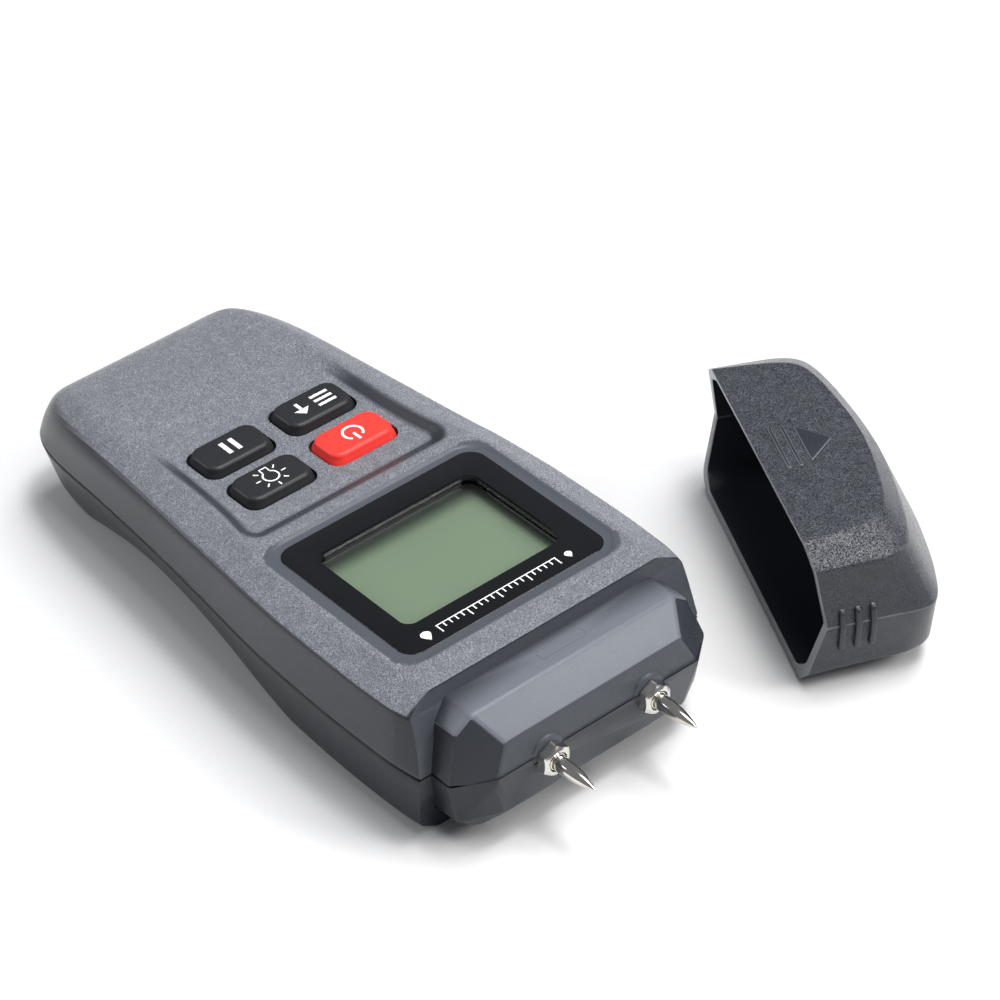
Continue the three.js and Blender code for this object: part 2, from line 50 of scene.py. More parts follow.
DOOR_Y, DOOR_X, DOOR_T = -49.6, 19.0, 1.8
#  y, seam, shoulder x/z, rim x/z, low edge x/z, under x/z (grid steps)
H = np.array([
    [53, 48.4, 45.8, -4.9, 38.4, 0, 46.4, -42.0, 40.0, -46.923],
    [46, 50.0, 47.5, -4.5, 39.4, 0, 47.5, -42.5, 41.0, -46.923],
    [36, 51.0, 49.3, -4.5, 40.4, 0, 48.3, -42.8, 41.5, -46.923],
    [18, 51.3, 49.9, -4.3, 41.0, 0, 48.6, -42.9, 41.5, -46.923],
    [-10, 50.6, 49.6, -4.1, 40.8, 0, 47.8, -42.6, 41.0, -46.923],
    [-22, 49.9, 49.0, -4.1, 40.4, 0, 47.0, -40.6, 40.5, -44.9],
    [-34, 48.8, 48.2, -4.1, 39.6, 0, 46.0, -38.0, 40.0, -42.2],
    [-42, 47.9, 47.4, -4.2, 37.8, -0.3, 45.2, -36.3, 39.3, -40.6],
    [-54, 46.6, 46.4, -4.3, 35.8, -0.6, 44.0, -34.6, 38.0, -38.8],
    [-68, 45.2, 45.3, -4.4, 34.8, -0.8, 42.6, -33.4, 36.8, -37.6],
    [-82, 44.0, 44.2, -4.6, 34.4, -1.0, 41.2, -33.2, 35.6, -37.4],
    [-96, 43.0, 43.2, -5.0, 34.2, -1.2, 40.2, -34.0, 34.8, -38.4],
    [-108, 42.2, 42.3, -5.6, 34.0, -1.5, 39.4, -35.6, 34.2, -40.8],
    [-119, 41.6, 41.3, -6.6, 33.8, -2.0, 38.6, -37.4, 33.4, -44.0],
    [-129, 41.0, 39.8, -8.2, 33.2, -2.9, 37.6, -38.6, 32.6, -46.7],
    [-139, 39.6, 37.4, -11.0, 31.6, -4.9, 35.8, -38.6, 31.4, -46.7],
    [-146, 37.2, 34.6, -14.8, 29.6, -9.3, 33.2, -37.2, 29.6, -44.0],
    [-150, 33.8, 31.8, -18.2, 27.4, -13.8, 30.4, -34.6, 27.6, -39.6],
    [-152, 29.2, 28.0, -20.2, 25.0, -17.2, 26.6, -31.0, 24.6, -34.0],
])[::-1]
DEPTH = np.array([[-125, 0], [-117, 0.05], [-108, 0.5], [-96, 1.5], [-82, 2.05], [-68, 2.25], [-54, 2.45], [-42, 2.75], [-34, 3.0], [60, 3.0]])
V_FRONT = np.array([[-52, 43.6], [-41, 45.4], [-22.3, 49.2], [-10, 46.75], [-6.2, 45.6], [-3.7, 44.5], [0, 43.35], [2, 43.3]])


# ---------------------------------------------------------------- mesh helpers
def pchip(x, y, q):
    """Smooth curve through the points that never overshoots them."""
    x, y, q = np.asarray(x, float), np.asarray(y, float), np.asarray(q, float)
    h, d = np.diff(x), np.diff(y) / np.diff(x)
    m = np.zeros(len(x))
    m[0], m[-1] = d[0], d[-1]
    for i in range(1, len(x) - 1):
        if d[i - 1] * d[i] > 0:
            w1, w2 = 2 * h[i] + h[i - 1], h[i] + 2 * h[i - 1]
            m[i] = (w1 + w2) / (w1 / d[i - 1] + w2 / d[i])
    q = np.clip(q, x[0], x[-1])
    i = np.clip(np.searchsorted(x, q) - 1, 0, len(x) - 2)
    t = (q - x[i]) / h[i]
    return ((1 + 2 * t) * (1 - t) ** 2 * y[i] + t * (1 - t) ** 2 * h[i] * m[i]
            + t * t * (3 - 2 * t) * y[i + 1] + t * t * (t - 1) * h[i] * m[i + 1])


def col(k, y):
    return pchip(H[:, 0], H[:, k], y)


def link(name, mesh):
    ob = bpy.data.objects.new(name, mesh)
    bpy.context.scene.collection.objects.link(ob)
    return ob


def make(name, verts, faces):
    """Mesh object from millimetre vertices, with its faces turned outwards."""
    v = np.asarray(verts, float)
    vol = 0.0
    for f in faces:
        a = v[f[0]]
        for i in range(1, len(f) - 1):
            vol += np.dot(a, np.cross(v[f[i]], v[f[i + 1]]))
    if vol < 0:
        faces = [tuple(reversed(f)) for f in faces]
    me = bpy.data.meshes.new(name)
    me.from_pydata((v * 0.001).tolist(), [], [tuple(int(i) for i in f) for f in faces])
    me.update()
    return link(name, me)


def tube(name, rows, start="strip", end="strip"):
    """Closed loops joined into a skin. strip closes a mirrored loop across; fan closes to the middle."""
    rows = np.asarray(rows, float)
    r, n = rows.shape[:2]
    verts = rows.reshape(-1, 3).tolist()
    faces = []
    for i in range(r - 1):
        for j in range(n):
            k = (j + 1) % n
            faces.append((i * n + j, i * n + k, (i + 1) * n + k, (i + 1) * n + j))
    for base, how, flip in ((0, start, True), ((r - 1) * n, end, False)):
        got = []
        if how == "strip":
            for j in range((n - 1) // 2):
                q = [base + j, base + j + 1, base + n - 2 - j, base + n - 1 - j]
                q = list(dict.fromkeys(q))
                if len(q) > 2:
                    got.append(tuple(q))
        elif how == "fan":
            c = len(verts)
            verts.append(rows[base // n].mean(0).tolist())
            got = [(base + j, base + (j + 1) % n, c) for j in range(n)]
        elif how == "flat":
            got = [tuple(range(base, base + n))]
        if how == "strip":
            # a strip runs the other way round to a fan
            got = [tuple(reversed(g)) for g in got]
            got = [tuple(reversed(g)) for g in got]
        faces += [tuple(reversed(g)) if flip else g for g in got]
    return make(name, verts, faces)


def clean(ob, dist=1e-6):
    bm = bmesh.new()
    bm.from_mesh(ob.data)
    bmesh.ops.remove_doubles(bm, verts=bm.verts, dist=dist)
    bmesh.ops.dissolve_degenerate(bm, edges=bm.edges, dist=dist / 4)
    bmesh.ops.recalc_face_normals(bm, faces=bm.faces)
    bm.to_mesh(ob.data)
    bm.free()
    ob.data.update()
    return ob


def bake_modifiers(ob):
    dg = bpy.context.evaluated_depsgraph_get()
    dg.update()
    me = bpy.data.meshes.new_from_object(ob.evaluated_get(dg))
    old = ob.data
    ob.modifiers.clear()
    ob.data = me
    bpy.data.meshes.remove(old)
    return ob


def boolean(a, b, op, keep=False):
    m = a.modifiers.new("cut", "BOOLEAN")
    m.operation, m.object = op, b
    try:
        m.solver = "MANIFOLD"
    except TypeError:
        m.solver = "EXACT"
    before = len(a.data.polygons)
    bake_modifiers(a)
    if len(a.data.polygons) == 0 or (op != "INTERSECT" and len(a.data.polygons) == before and m is None):
        raise RuntimeError("empty result: " + a.name + " " + op + " " + b.name)
    if not keep:
        bpy.data.objects.remove(b)
    return a


def cut(a, b, keep=False):
    return boolean(a, b, "DIFFERENCE", keep)


def join(a, b, keep=False):
    return boolean(a, b, "UNION", keep)


def meet(a, b, keep=False):
    return boolean(a, b, "INTERSECT", keep)


def bevel(ob, width, segments=3, angle=25, pick=None):
    bm = bmesh.new()
    bm.from_mesh(ob.data)
    edges = []
    for e in bm.edges:
        if len(e.link_faces) == 2 and math.degrees(e.calc_face_angle(0)) > angle and (pick is None or pick(e)):
            edges.append(e)
    bmesh.ops.bevel(bm, geom=edges, offset=width * 0.001, offset_type="OFFSET", segments=segments, profile=0.5, affect="EDGES", clamp_overlap=True)
    bmesh.ops.remove_doubles(bm, verts=bm.verts, dist=1e-7)
    bm.to_mesh(ob.data)
    bm.free()
    ob.data.update()
    return ob


def smooth(ob, angle=32):
    me = ob.data
    me.polygons.foreach_set("use_smooth", [True] * len(me.polygons))
    me.set_sharp_from_angle(angle=math.radians(angle))
    me.update()
    return ob


def outline(w, h, r, cx=0.0, cy=0.0, n=8):
    """Rounded rectangle, anticlockwise."""
    r = max(min(r, w / 2 - 1e-3, h / 2 - 1e-3), 1e-3)
    pts = []
    for k, (sx, sy) in enumerate(((1, 1), (-1, 1), (-1, -1), (1, -1))):
        ox, oy = cx + sx * (w / 2 - r), cy + sy * (h / 2 - r)
        for i in range(n + 1):
            a = math.pi / 2 * (k + i / n)
            pts.append((ox + r * math.cos(a), oy + r * math.sin(a)))
    return np.array(pts)


def ringed(name, rings, cx=0.0, cy=0.0, n=8, ends="flat"):
    """Stack of rounded rectangles: [(width, depth, radius, z), ...]."""
    rows = []
    for w, h, r, z in rings:
        p = outline(w, h, r, cx, cy, n)
        rows.append(np.column_stack([p, np.full(len(p), z)]))
    return tube(name, rows, ends, ends)


def turned(name, profile, seg=48, axis="y", at=(0, 0, 0), phase=0.0):
    """Turned piece: profile [(radius, along), ...], its ends on the axis."""
    rows = []
    for r, t in profile:
        a = np.linspace(0, 2 * math.pi, seg, endpoint=False) + phase
        c, s = r * np.cos(a), r * np.sin(a)
        tt = np.full(seg, t)
        rows.append(np.column_stack([c, tt, -s] if axis == "y" else [c, s, tt]) + np.array(at))
    ob = tube(name, rows, "fan", "fan")
    return clean(ob)


def block(name, x0, x1, y0, y1, z0, z1):
    v = [(x, y, z) for x in (x0, x1) for y in (y0, y1) for z in (z0, z1)]
    f = [(0, 1, 3, 2), (4, 6, 7, 5), (0, 4, 5, 1), (2, 3, 7, 6), (0, 2, 6, 4), (1, 5, 7, 3)]
    return make(name, v, f)


def prism(name, pts, lo, hi, axis="x"):
    """Outline pushed along an axis: for x the points are (y, z), for z they are (x, y)."""
    n = len(pts)
    if axis == "x":
        v = [(lo, p[0], p[1]) for p in pts] + [(hi, p[0], p[1]) for p in pts]
    else:
        v = [(p[0], p[1], lo) for p in pts] + [(p[0], p[1], hi) for p in pts]
    f = [tuple(range(n))[::-1], tuple(range(n, 2 * n))]
    f += [(i, (i + 1) % n, n + (i + 1) % n, n + i) for i in range(n)]
    ob = make(name, v, f)
    bm = bmesh.new()
    bm.from_mesh(ob.data)
    bmesh.ops.triangulate(bm, faces=[q for q in bm.faces if len(q.verts) > 4])
    bm.to_mesh(ob.data)
    bm.free()
    return ob


def hull(name, pts):
    bm = bmesh.new()
    for p in pts:
        bm.verts.new(Vector(p) * 0.001)
    res = bmesh.ops.convex_hull(bm, input=bm.verts)
    drop = [g for g in res["geom_interior"] + res["geom_unused"] if isinstance(g, bmesh.types.BMVert)]
    bmesh.ops.delete(bm, geom=list(set(drop)), context="VERTS")
    bmesh.ops.dissolve_limit(bm, angle_limit=math.radians(0.8), verts=bm.verts, edges=bm.edges)
    bmesh.ops.recalc_face_normals(bm, faces=bm.faces)
    me = bpy.data.meshes.new(name)
    bm.to_mesh(me)
    bm.free()
    return link(name, me)


def fillet(points, cuts, counts, straights):
    """Polyline with each inner corner rounded. points (K, R, 2); always the same number of points out."""
    pts = np.asarray(points, float)
    out = [pts[0]]
    prev = pts[0]
    for k in range(1, len(pts) - 1):
        a, p, b = pts[k - 1], pts[k], pts[k + 1]
        la = np.linalg.norm(a - p, axis=-1, keepdims=True)
        lb = np.linalg.norm(b - p, axis=-1, keepdims=True)
        c = np.asarray(cuts[k - 1], float).reshape(-1, 1) if np.ndim(cuts[k - 1]) else cuts[k - 1]
        da, db = np.minimum(c, la * 0.48), np.minimum(c, lb * 0.48)
        s, e = p + (a - p) / np.maximum(la, 1e-9) * da, p + (b - p) / np.maximum(lb, 1e-9) * db
        for i in range(1, straights[k - 1] + 1):
            out.append(prev + (s - prev) * i / straights[k - 1])
        n = counts[k - 1]
        for i in range(1, n + 1):
            t = i / n
            out.append((1 - t) ** 2 * s + 2 * t * (1 - t) * p + t * t * e)
        prev = e
    m = straights[-1]
    for i in range(1, m + 1):
        out.append(prev + (pts[-1] - prev) * i / m)
    return np.array(out)


# ---------------------------------------------------------------- housing skins
def upper_half(y, inset=0.0):
    """Right half of the upper shell's outline at each y: (points, rows, [x, z]), grid steps."""
    ws, wh, zh, wt, zt = (col(k, y) for k in (1, 2, 3, 4, 5))
    s = -22.3 + 0.2 / G + 0 * y
    z0 = 0 * y
    pts = [np.stack([ws - 0.26 - inset, s], -1), np.stack([ws - 0.02 - inset, s + 0.22], -1),
           np.stack([wh - inset, zh], -1), np.stack([wt - inset, zt], -1), np.stack([z0, zt], -1)]
    soft = pchip([-152, -120, -60, -20, 30, 53], [4.0, 5.0, 3.2, 1.8, 1.0, 0.8], y)
    rim = pchip([-152, -130, -90, -36, 53], [4.0, 3.5, 1.8, 1.0, 0.8], y)
    return fillet(pts, [0.03, soft, rim], [1, 6, 5], [1, 10, 6, 40])


def recess(x, y):
    """How far the keypad panel sinks below the rim, grid steps."""
    w = col(4, y) + 0.2
    dx = w - np.abs(x)
    dy = (-36.6 - y) * 0.74
    r = 8.0
    d = np.minimum(dx, dy)
    near = (dx < r) & (dy < r)
    d = np.where(near, r - np.hypot(r - dx, r - dy), d)
    t = np.clip(d / 6.3, 0, 1)
    t = t * t * t * (t * (6 * t - 15) + 10)
    return t * pchip(DEPTH[:, 0], DEPTH[:, 1], y)


def v_front(z):
    below = pchip(V_FRONT[:3, 0], V_FRONT[:3, 1], z)
    above = pchip(V_FRONT[2:, 0], V_FRONT[2:, 1], z)
    return np.where(np.asarray(z) < -22.3, below, above)


def skin(name, half, stations, front=True, drop=None):
    """Closed body lofted from a half outline, with a rounded edge round its V front."""
    ys = np.asarray(stations, float)
    grid = half(ys)                                   # (P, R, 2)
    P = grid.shape[0]
    rows = []
    for r, y in enumerate(ys):
        rows.append(np.column_stack([grid[:, r, 0], np.full(P, y), grid[:, r, 1]]))
    if front:
        base = ys[-1]
        ye = v_front(grid[:, -1, 1])
        for _ in range(4):
            g = half(np.asarray(ye))
            zc = np.array([g[j, j, 1] for j in range(P)])
            ye = v_front(zc)
        rnd = 0.32
        last = None
        for t in np.linspace(0.08, 1, 14):
            yy = base + (ye - rnd - base) * t
            g = half(yy)
            p = np.array([[g[j, j, 0], yy[j], g[j, j, 1]] for j in range(P)])
            rows.append(p)
            last = p
        tan = np.gradient(last[:, [0, 2]], axis=0)
        tan /= np.maximum(np.linalg.norm(tan, axis=1, keepdims=True), 1e-9)
        nrm = np.column_stack([tan[:, 1], np.zeros(P), -tan[:, 0]])
        nrm *= np.sign(nrm[:, 0:1] * last[:, 0:1] + nrm[:, 2:3] * (last[:, 2:3] + 22.3) + 1e-9)
        nrm[-1] = (0, 0, np.sign(last[-1, 2] + 22.3))
        nrm[0] = (1, 0, 0)
        for a in (25, 50, 72, 90):
            c = math.radians(a)
            q = last - rnd * (1 - math.cos(c)) * nrm
            q[:, 1] = last[:, 1] + rnd * math.sin(c)
            q[-1, 0] = 0
            rows.append(q)
    rows = np.array(rows)                             # (R, P, 3)
    if drop is not None:
        rows[:, :, 2] -= drop(rows[:, :, 0], rows[:, :, 1])
    left = rows[:, :-1][:, ::-1].copy()
    left[:, :, 0] *= -1
    rows = np.concatenate([rows, left], axis=1)
    rows = rows * G
    rows[:, :, 2] += TOP
    return tube(name, rows, "strip", "strip")


def lower_half(y, inset=0.0):
    ws, wl, zl, wb, zb = (col(k, y) for k in (1, 6, 7, 8, 9))
    s = -22.3 - 0.2 / G + 0 * y
    pts = [np.stack([ws - 0.34 - inset, s], -1), np.stack([ws - 0.04 - inset, s - 0.26], -1),
           np.stack([wl - inset, zl], -1), np.stack([wb - inset, zb], -1), np.stack([0 * y, zb], -1)]
    soft = pchip([-152, -120, -60, -20, 30, 53], [3.5, 4.5, 3.5, 2.6, 2.0, 1.6], y)
    return fillet(pts, [0.03, soft, soft * 0.8], [1, 6, 6], [1, 5, 3, 12])


STEP = 0.8
ST = np.concatenate([[-152, -151.85, -151.6, -151.2, -150.6, -150, -149.2, -148.2, -147.2, -146], np.arange(-145, 36.01, STEP)])


def cavity(name, half, inset, dz, y0=-147.0, y1=46.0):
    """Plain inside of a shell: its outline pulled in."""
    ys = np.array([y for y in np.arange(y0, y1 + 0.1, 6.0)] + [y1])
    rows = []
    for y in ys:
        yy = np.array([y])
        g = half(yy)[:, 0, :]
        c = g[::4] if len(g) > 30 else g
        c = np.vstack([c, g[-1:]])
        x = np.clip(c[:, 0] - inset, 0, None)
        z = c[:, 1] + dz
        rows.append(np.column_stack([x, np.full(len(x), y), z]))
    rows = np.array(rows)
    sgn = 1 if dz < 0 else -1
    low = -22.3 - sgn * 3.0
    rows[:, 0, 2] = low
    rows[:, -1, 0] = 0
    left = rows[:, :-1][:, ::-1].copy()
    left[:, :, 0] *= -1
    rows = np.concatenate([rows, left], axis=1) * G
    rows[:, :, 2] += TOP
    return tube(name, rows, "strip", "strip")


def Zg(z):
    return TOP + G * z


# ---------------------------------------------------------------- nose
def nose(name, sign, inset=0.0, round_by=0.0):
    s = -22.3 + sign * 0.2 / G
    if sign > 0:
        side = [[45.6, s, 30], [45.4, s, 56.2], [35.4, s, 64.4], [41.4, -8.2, 30], [41.0, -8.4, 54.4], [36.4, -3.7, 30], [35.4, -3.7, 55.2], [30.6, -11.5, 63.1]]
    else:
        side = [[45.6, s, 30], [45.4, s, 56.2], [35.4, s, 64.4], [43.0, -38.4, 30], [42.4, -38.0, 55.0], [37.0, -43.4, 30], [35.6, -43.2, 54.8], [31.4, -35.2, 62.8]]
    pts = []
    for x, z, y in side:
        zz = (z - 3 * sign if z == s and inset else z) if z == s else z - sign * inset
        yy = y - (inset if y > 40 else 0)
        for m in (1, -1):
            pts.append((m * (x - inset) * G, yy * G, Zg(zz)))
    ob = hull(name, pts)
    if round_by:
        zs = Zg(s) * 0.001
        bevel(ob, round_by, 4, 8, lambda e: not all(abs(v.co.z - zs) < 2e-5 for v in e.verts))
        bevel(ob, 0.14, 1, 40, lambda e: all(abs(v.co.z - zs) < 2e-5 for v in e.verts))
    return ob


# ---------------------------------------------------------------- front shell
front = skin("front_case", upper_half, ST, drop=recess)
front = clean(front)
front = join(front, nose("n", 1, 0, 0.6))
for s in (1, -1):      # low seats that the collars stand on
    front = join(front, meet(turned("seat", [(0, 36), (4.6, 36), (4.5, 40.9), (3.9, 41.7), (3.2, 42.05), (0, 42.05)], 40, "y", (s * PIN_X, 0, SEAM)),
                             block("half", s * PIN_X - 6, s * PIN_X + 6, 30, 50, SEAM + GAP, 30)))
def stroke(name, pts, w, closed=False, z=(30.16, 30.245)):
    """Raised or printed line of width w through the points."""
    p = np.asarray(pts, float)
    n = len(p)
    left, right = [], []
    for i in range(n):
        a = p[(i - 1) % n] if closed or i else p[i]
        b = p[(i + 1) % n] if closed or i < n - 1 else p[i]
        t = (b - a) / max(np.linalg.norm(b - a), 1e-9)
        nn = np.array([-t[1], t[0]]) * w / 2
        left.append(p[i] + nn)
        right.append(p[i] - nn)
    v, f = [], []
    for zz in z:
        v += [(q[0], q[1], zz) for q in left] + [(q[0], q[1], zz) for q in right]
    L0, R0, L1, R1 = 0, n, 2 * n, 3 * n
    m = n if closed else n - 1
    for i in range(m):
        k = (i + 1) % n
        f += [(L1 + i, R1 + i, R1 + k, L1 + k), (L0 + i, L0 + k, R0 + k, R0 + i), (L0 + i, L1 + i, L1 + k, L0 + k), (R0 + i, R0 + k, R1 + k, R1 + i)]
    if not closed:
        f += [(L0, R0, R1, L1), (L0 + n - 1, L1 + n - 1, R1 + n - 1, R0 + n - 1)]
    return make(name, v, f)


front = join(front, stroke("mould", [tuple(q) for q in outline(10.2, 2.2, 0.5, -0.3, 32.1, 4)], 0.16, True, (27.9, 28.135)))
front = cut(front, cavity("c", upper_half, 3.4, -5.4))
front = cut(front, nose("c", 1, 3.2))


def flare(name, w, h, r, z_surface, deep, cx=0.0, cy=0.0, lip=0.3):
    """Cutter for an opening whose top edge is rounded over by lip."""
    rings = [(w, h, r, deep), (w, h, r, z_surface - lip)]
    for a in (22, 45, 67, 82):
        t = math.radians(a)
        o = lip * (1 - math.cos(t))
        rings.append((w + 2 * o, h + 2 * o, r + o, z_surface - lip + lip * math.sin(t)))
    o = lip
    rings.append((w + 2 * o, h + 2 * o, r + o, z_surface + 0.002))
    rings.append((w + 2 * o, h + 2 * o, r + o, z_surface + 3))
    return ringed(name, rings, cx, cy, 10)


BORDER = [(49.4, 42.0, 5.4, 30.18), (49.5, 42.1, 5.45, 30.2), (50.0, 42.6, 5.7, 30.34), (50.7, 43.3, 6.0, 30.46), (51.6, 44.2, 6.4, 30.502), (51.6, 44.2, 6.4, 33)]
front = cut(front, ringed("b", BORDER, 0, 0, 12))
front = cut(front, ringed("b", [(46.34, 39.14, 3.68, 28.5), (46.34, 39.14, 3.68, 33)], 0, 0, 14))
front = cut(front, ringed("b", [(40, 32.2, 2, 22), (40, 32.2, 2, 33)]))
for name, (x, y) in KEYS.items():
    front = cut(front, flare("k", KEY[0] + 0.45, KEY[1] + 0.45, KEY[2] + 0.25, Zg(-0.6 - 2.44), 22, x, y, 0.16))
for s in (1, -1):
    front = cut(front, turned("bore", [(0, 33), (2.35, 33), (2.35, 44), (0, 44)], 32, "y", (s * PIN_X, 0, SEAM)))

# ---------------------------------------------------------------- rear shell and battery door
whole = clean(skin("rear_case", lower_half, ST))
under = lambda y: Zg(pchip(H[:, 0], H[:, 9], np.array([y / G]))[0])
door_y = [DOOR_Y] + list(np.arange(-52, -94.4, -2.0)) + [-94.5]


def door_outline(rise, y0, end_y, top):
    pts = [(y0, under(DOOR_Y) + rise)] + [(y, under(y) + rise) for y in door_y[1:]] + [(end_y, under(-94.5) + rise), (end_y, top), (-104, top), (-104, -6), (y0, -6)]
    return pts


# the door is a slice of the same skin
door = link("battery_door_panel", whole.data.copy())
door = meet(door, prism("p", door_outline(DOOR_T, DOOR_Y, -95.6, 9.0), -DOOR_X, DOOR_X))
shelf = block("w", -22.2, 22.2, -97.0, -46.4, 0.5, 15.8)

rear = whole
rear = join(rear, nose("n", -1, 0, 0.6))
for s in (1, -1):
    rear = join(rear, meet(turned("seat", [(0, 36), (4.6, 36), (4.5, 40.9), (3.9, 41.7), (3.2, 42.05), (0, 42.05)], 40, "y", (s * PIN_X, 0, SEAM)),
                           block("half", s * PIN_X - 6, s * PIN_X + 6, 30, 50, 2, SEAM - GAP)))
solid_rear = link("solid_rear", rear.data.copy())
rear = cut(rear, cavity("c", lower_half, 3.4, 5.0))
rear = cut(rear, nose("c", -1, 3.2))
# walls round the cells, and the screw towers
rear = join(rear, meet(shelf, link("s", solid_rear.data.copy())))
for x, y in ((28, 25), (-28, 25), (24.2, -37.5), (-24.2, -37.5)):
    tower = turned("t", [(0, -2), (3.6, -2), (3.6, 15.8), (0, 15.8)], 32, "z", (x, y, 0))
    rear = join(rear, meet(tower, link("s", solid_rear.data.copy())))
bpy.data.objects.remove(solid_rear)
rear = cut(rear, block("bay", -19.6, 19.6, -95.0, -48.4, 8.3, 20))
rear = cut(rear, prism("room", [(DOOR_Y + 0.3, under(DOOR_Y) + 2.0)] + [(y, under(y) + 2.0) for y in door_y[1:]] + [(-94.9, under(-94.5) + 2.0), (-94.9, 20), (DOOR_Y + 0.3, 20)], -19.6, 19.6))
rear = cut(rear, prism("doorway", door_outline(DOOR_T + 0.25, DOOR_Y + 0.3, -94.9, 9.3), -DOOR_X - 0.3, DOOR_X + 0.3))
for x, y in ((28, 25), (-28, 25), (24.2, -37.5), (-24.2, -37.5)):
    z = under(y)
    rear = cut(rear, turned("b", [(0, -3), (3.1, -3), (3.1, z), (2.75, z + 0.35), (2.7, z + 0.5), (2.7, 9.5), (1.5, 9.6), (1.5, 18), (0, 18)], 36, "z", (x, y, 0)))
for s in (1, -1):
    rear = cut(rear, turned("bore", [(0, 33), (2.35, 33), (2.35, 44), (0, 44)], 32, "y", (s * PIN_X, 0, SEAM)))
# thumb ribs and an arrow on the door
for i in range(5):
    y = -61.0 - i * 2.4
    z = under(y)
    c = turned("g", [(0, -8.2), (0.35, -8.0), (0.62, -7.2), (0.62, 7.2), (0.35, 8.0), (0, 8.2)], 24, "y", (0, 0, 0))
    c.data.transform(Matrix.Translation((0, y * 0.001, z * 0.001)) @ Matrix.Rotation(math.pi / 2, 4, "Z"))
    door = cut(door, c)
ya = -74.5
arrow = prism("a", [(-4.2, ya), (4.2, ya), (0, ya - 5.0)], under(ya) - 1.5, under(ya - 2.0) + 0.3, "z")
door = cut(door, arrow)

# ---------------------------------------------------------------- display
W = (35.6, 26.1, 2.2, 0.0, -0.85)
bezel = ringed("display_frame", [(45.9, 38.7, 3.5, 29.2), (46.2, 39.0, 3.6, 29.35), (46.2, 39.0, 3.6, 30.1), (46.17, 38.97, 3.58, 30.15), (46.1, 38.9, 3.55, 30.185), (46.0, 38.8, 3.5, 30.2)], n=14)
bezel = cut(bezel, ringed("w", [(W[0] - 0.1, W[1] - 0.1, W[2], 28), (W[0] - 0.1, W[1] - 0.1, W[2], 29.9), (W[0] + 0.3, W[1] + 0.3, W[2] + 0.15, 29.95), (W[0] + 0.5, W[1] + 0.5, W[2] + 0.2, 30.202), (W[0] + 0.5, W[1] + 0.5, W[2] + 0.2, 33)], W[3], W[4], 12))
lens = ringed("display_window", [(45.5, 38.3, 3.3, 28.55), (45.6, 38.4, 3.3, 28.6), (45.6, 38.4, 3.3, 29.05), (45.5, 38.3, 3.3, 29.1)], n=12)
glass = ringed("lcd_glass", [(39.8, 33.7, 0.5, 25.0), (40, 33.9, 0.5, 25.1), (40, 33.9, 0.5, 26.5), (39.8, 33.7, 0.5, 26.6)], 0, -0.85, 6)
lcd_frame = ringed("lcd_surround", [(45.2, 38.8, 1.2, 22.05), (45.2, 38.8, 1.2, 27.0), (45.0, 38.6, 1.1, 27.1)], 0, -0.8, 6)
lcd_frame = cut(lcd_frame, ringed("w", [(40.8, 34.7, 0.6, 21), (40.8, 34.7, 0.6, 26.85)], 0, -0.85, 6))
lcd_frame = cut(lcd_frame, ringed("w", [(37.4, 28.8, 1, 22), (37.4, 28.8, 1, 26.9), (37.8, 29.2, 1.2, 27.12), (37.8, 29.2, 1.2, 29)], 0, -0.4, 8))


# ---------------------------------------------------------------- keys and their printed marks
def key_cap(name, x, y):
    w, h, r, top = KEY
    rings = [(w + 1.1, h + 1.1, r + 0.5, 25.35), (w + 1.1, h + 1.1, r + 0.5, 26.02), (w, h, r, 26.04), (w - 0.02, h - 0.02, r, 27.6), (w - 0.55, h - 0.55, r, 28.6), (w - 1.1, h - 1.1, r, 29.2)]
    for a in (15, 30, 45, 60, 75, 90):
        t = math.radians(a)
        d = 1.1 + 2 * 0.75 * (1 - math.cos(t))
        rings.append((w - d, h - d, r - 0.4 * (1 - math.cos(t)), 29.2 + (top - 29.2) * math.sin(t)))
    for k in (1.0, 2.2, 4.0):
        rings.append((w - 2.6 - k, h - 2.6 - k, r - 0.5 - k * 0.2, top + 0.012 * k ** 0.5))
    return ringed(name, rings, x, y, 10, "fan")


key_obs = {n: key_cap("key_cap_" + n, *p) for n, p in KEYS.items()}
INK_Z = (30.16, 30.245)


def arc(cx, cy, r, a0, a1, n=36):
    a = np.radians(np.linspace(a0, a1, n))
    return np.column_stack([cx + r * np.cos(a), cy + r * np.sin(a)])


def merged(name, obs):
    bm = bmesh.new()
    for o in obs:
        bm.from_mesh(o.data)
        bpy.data.objects.remove(o)
    me = bpy.data.meshes.new(name)
    bm.to_mesh(me)
    bm.free()
    return link(name, me)


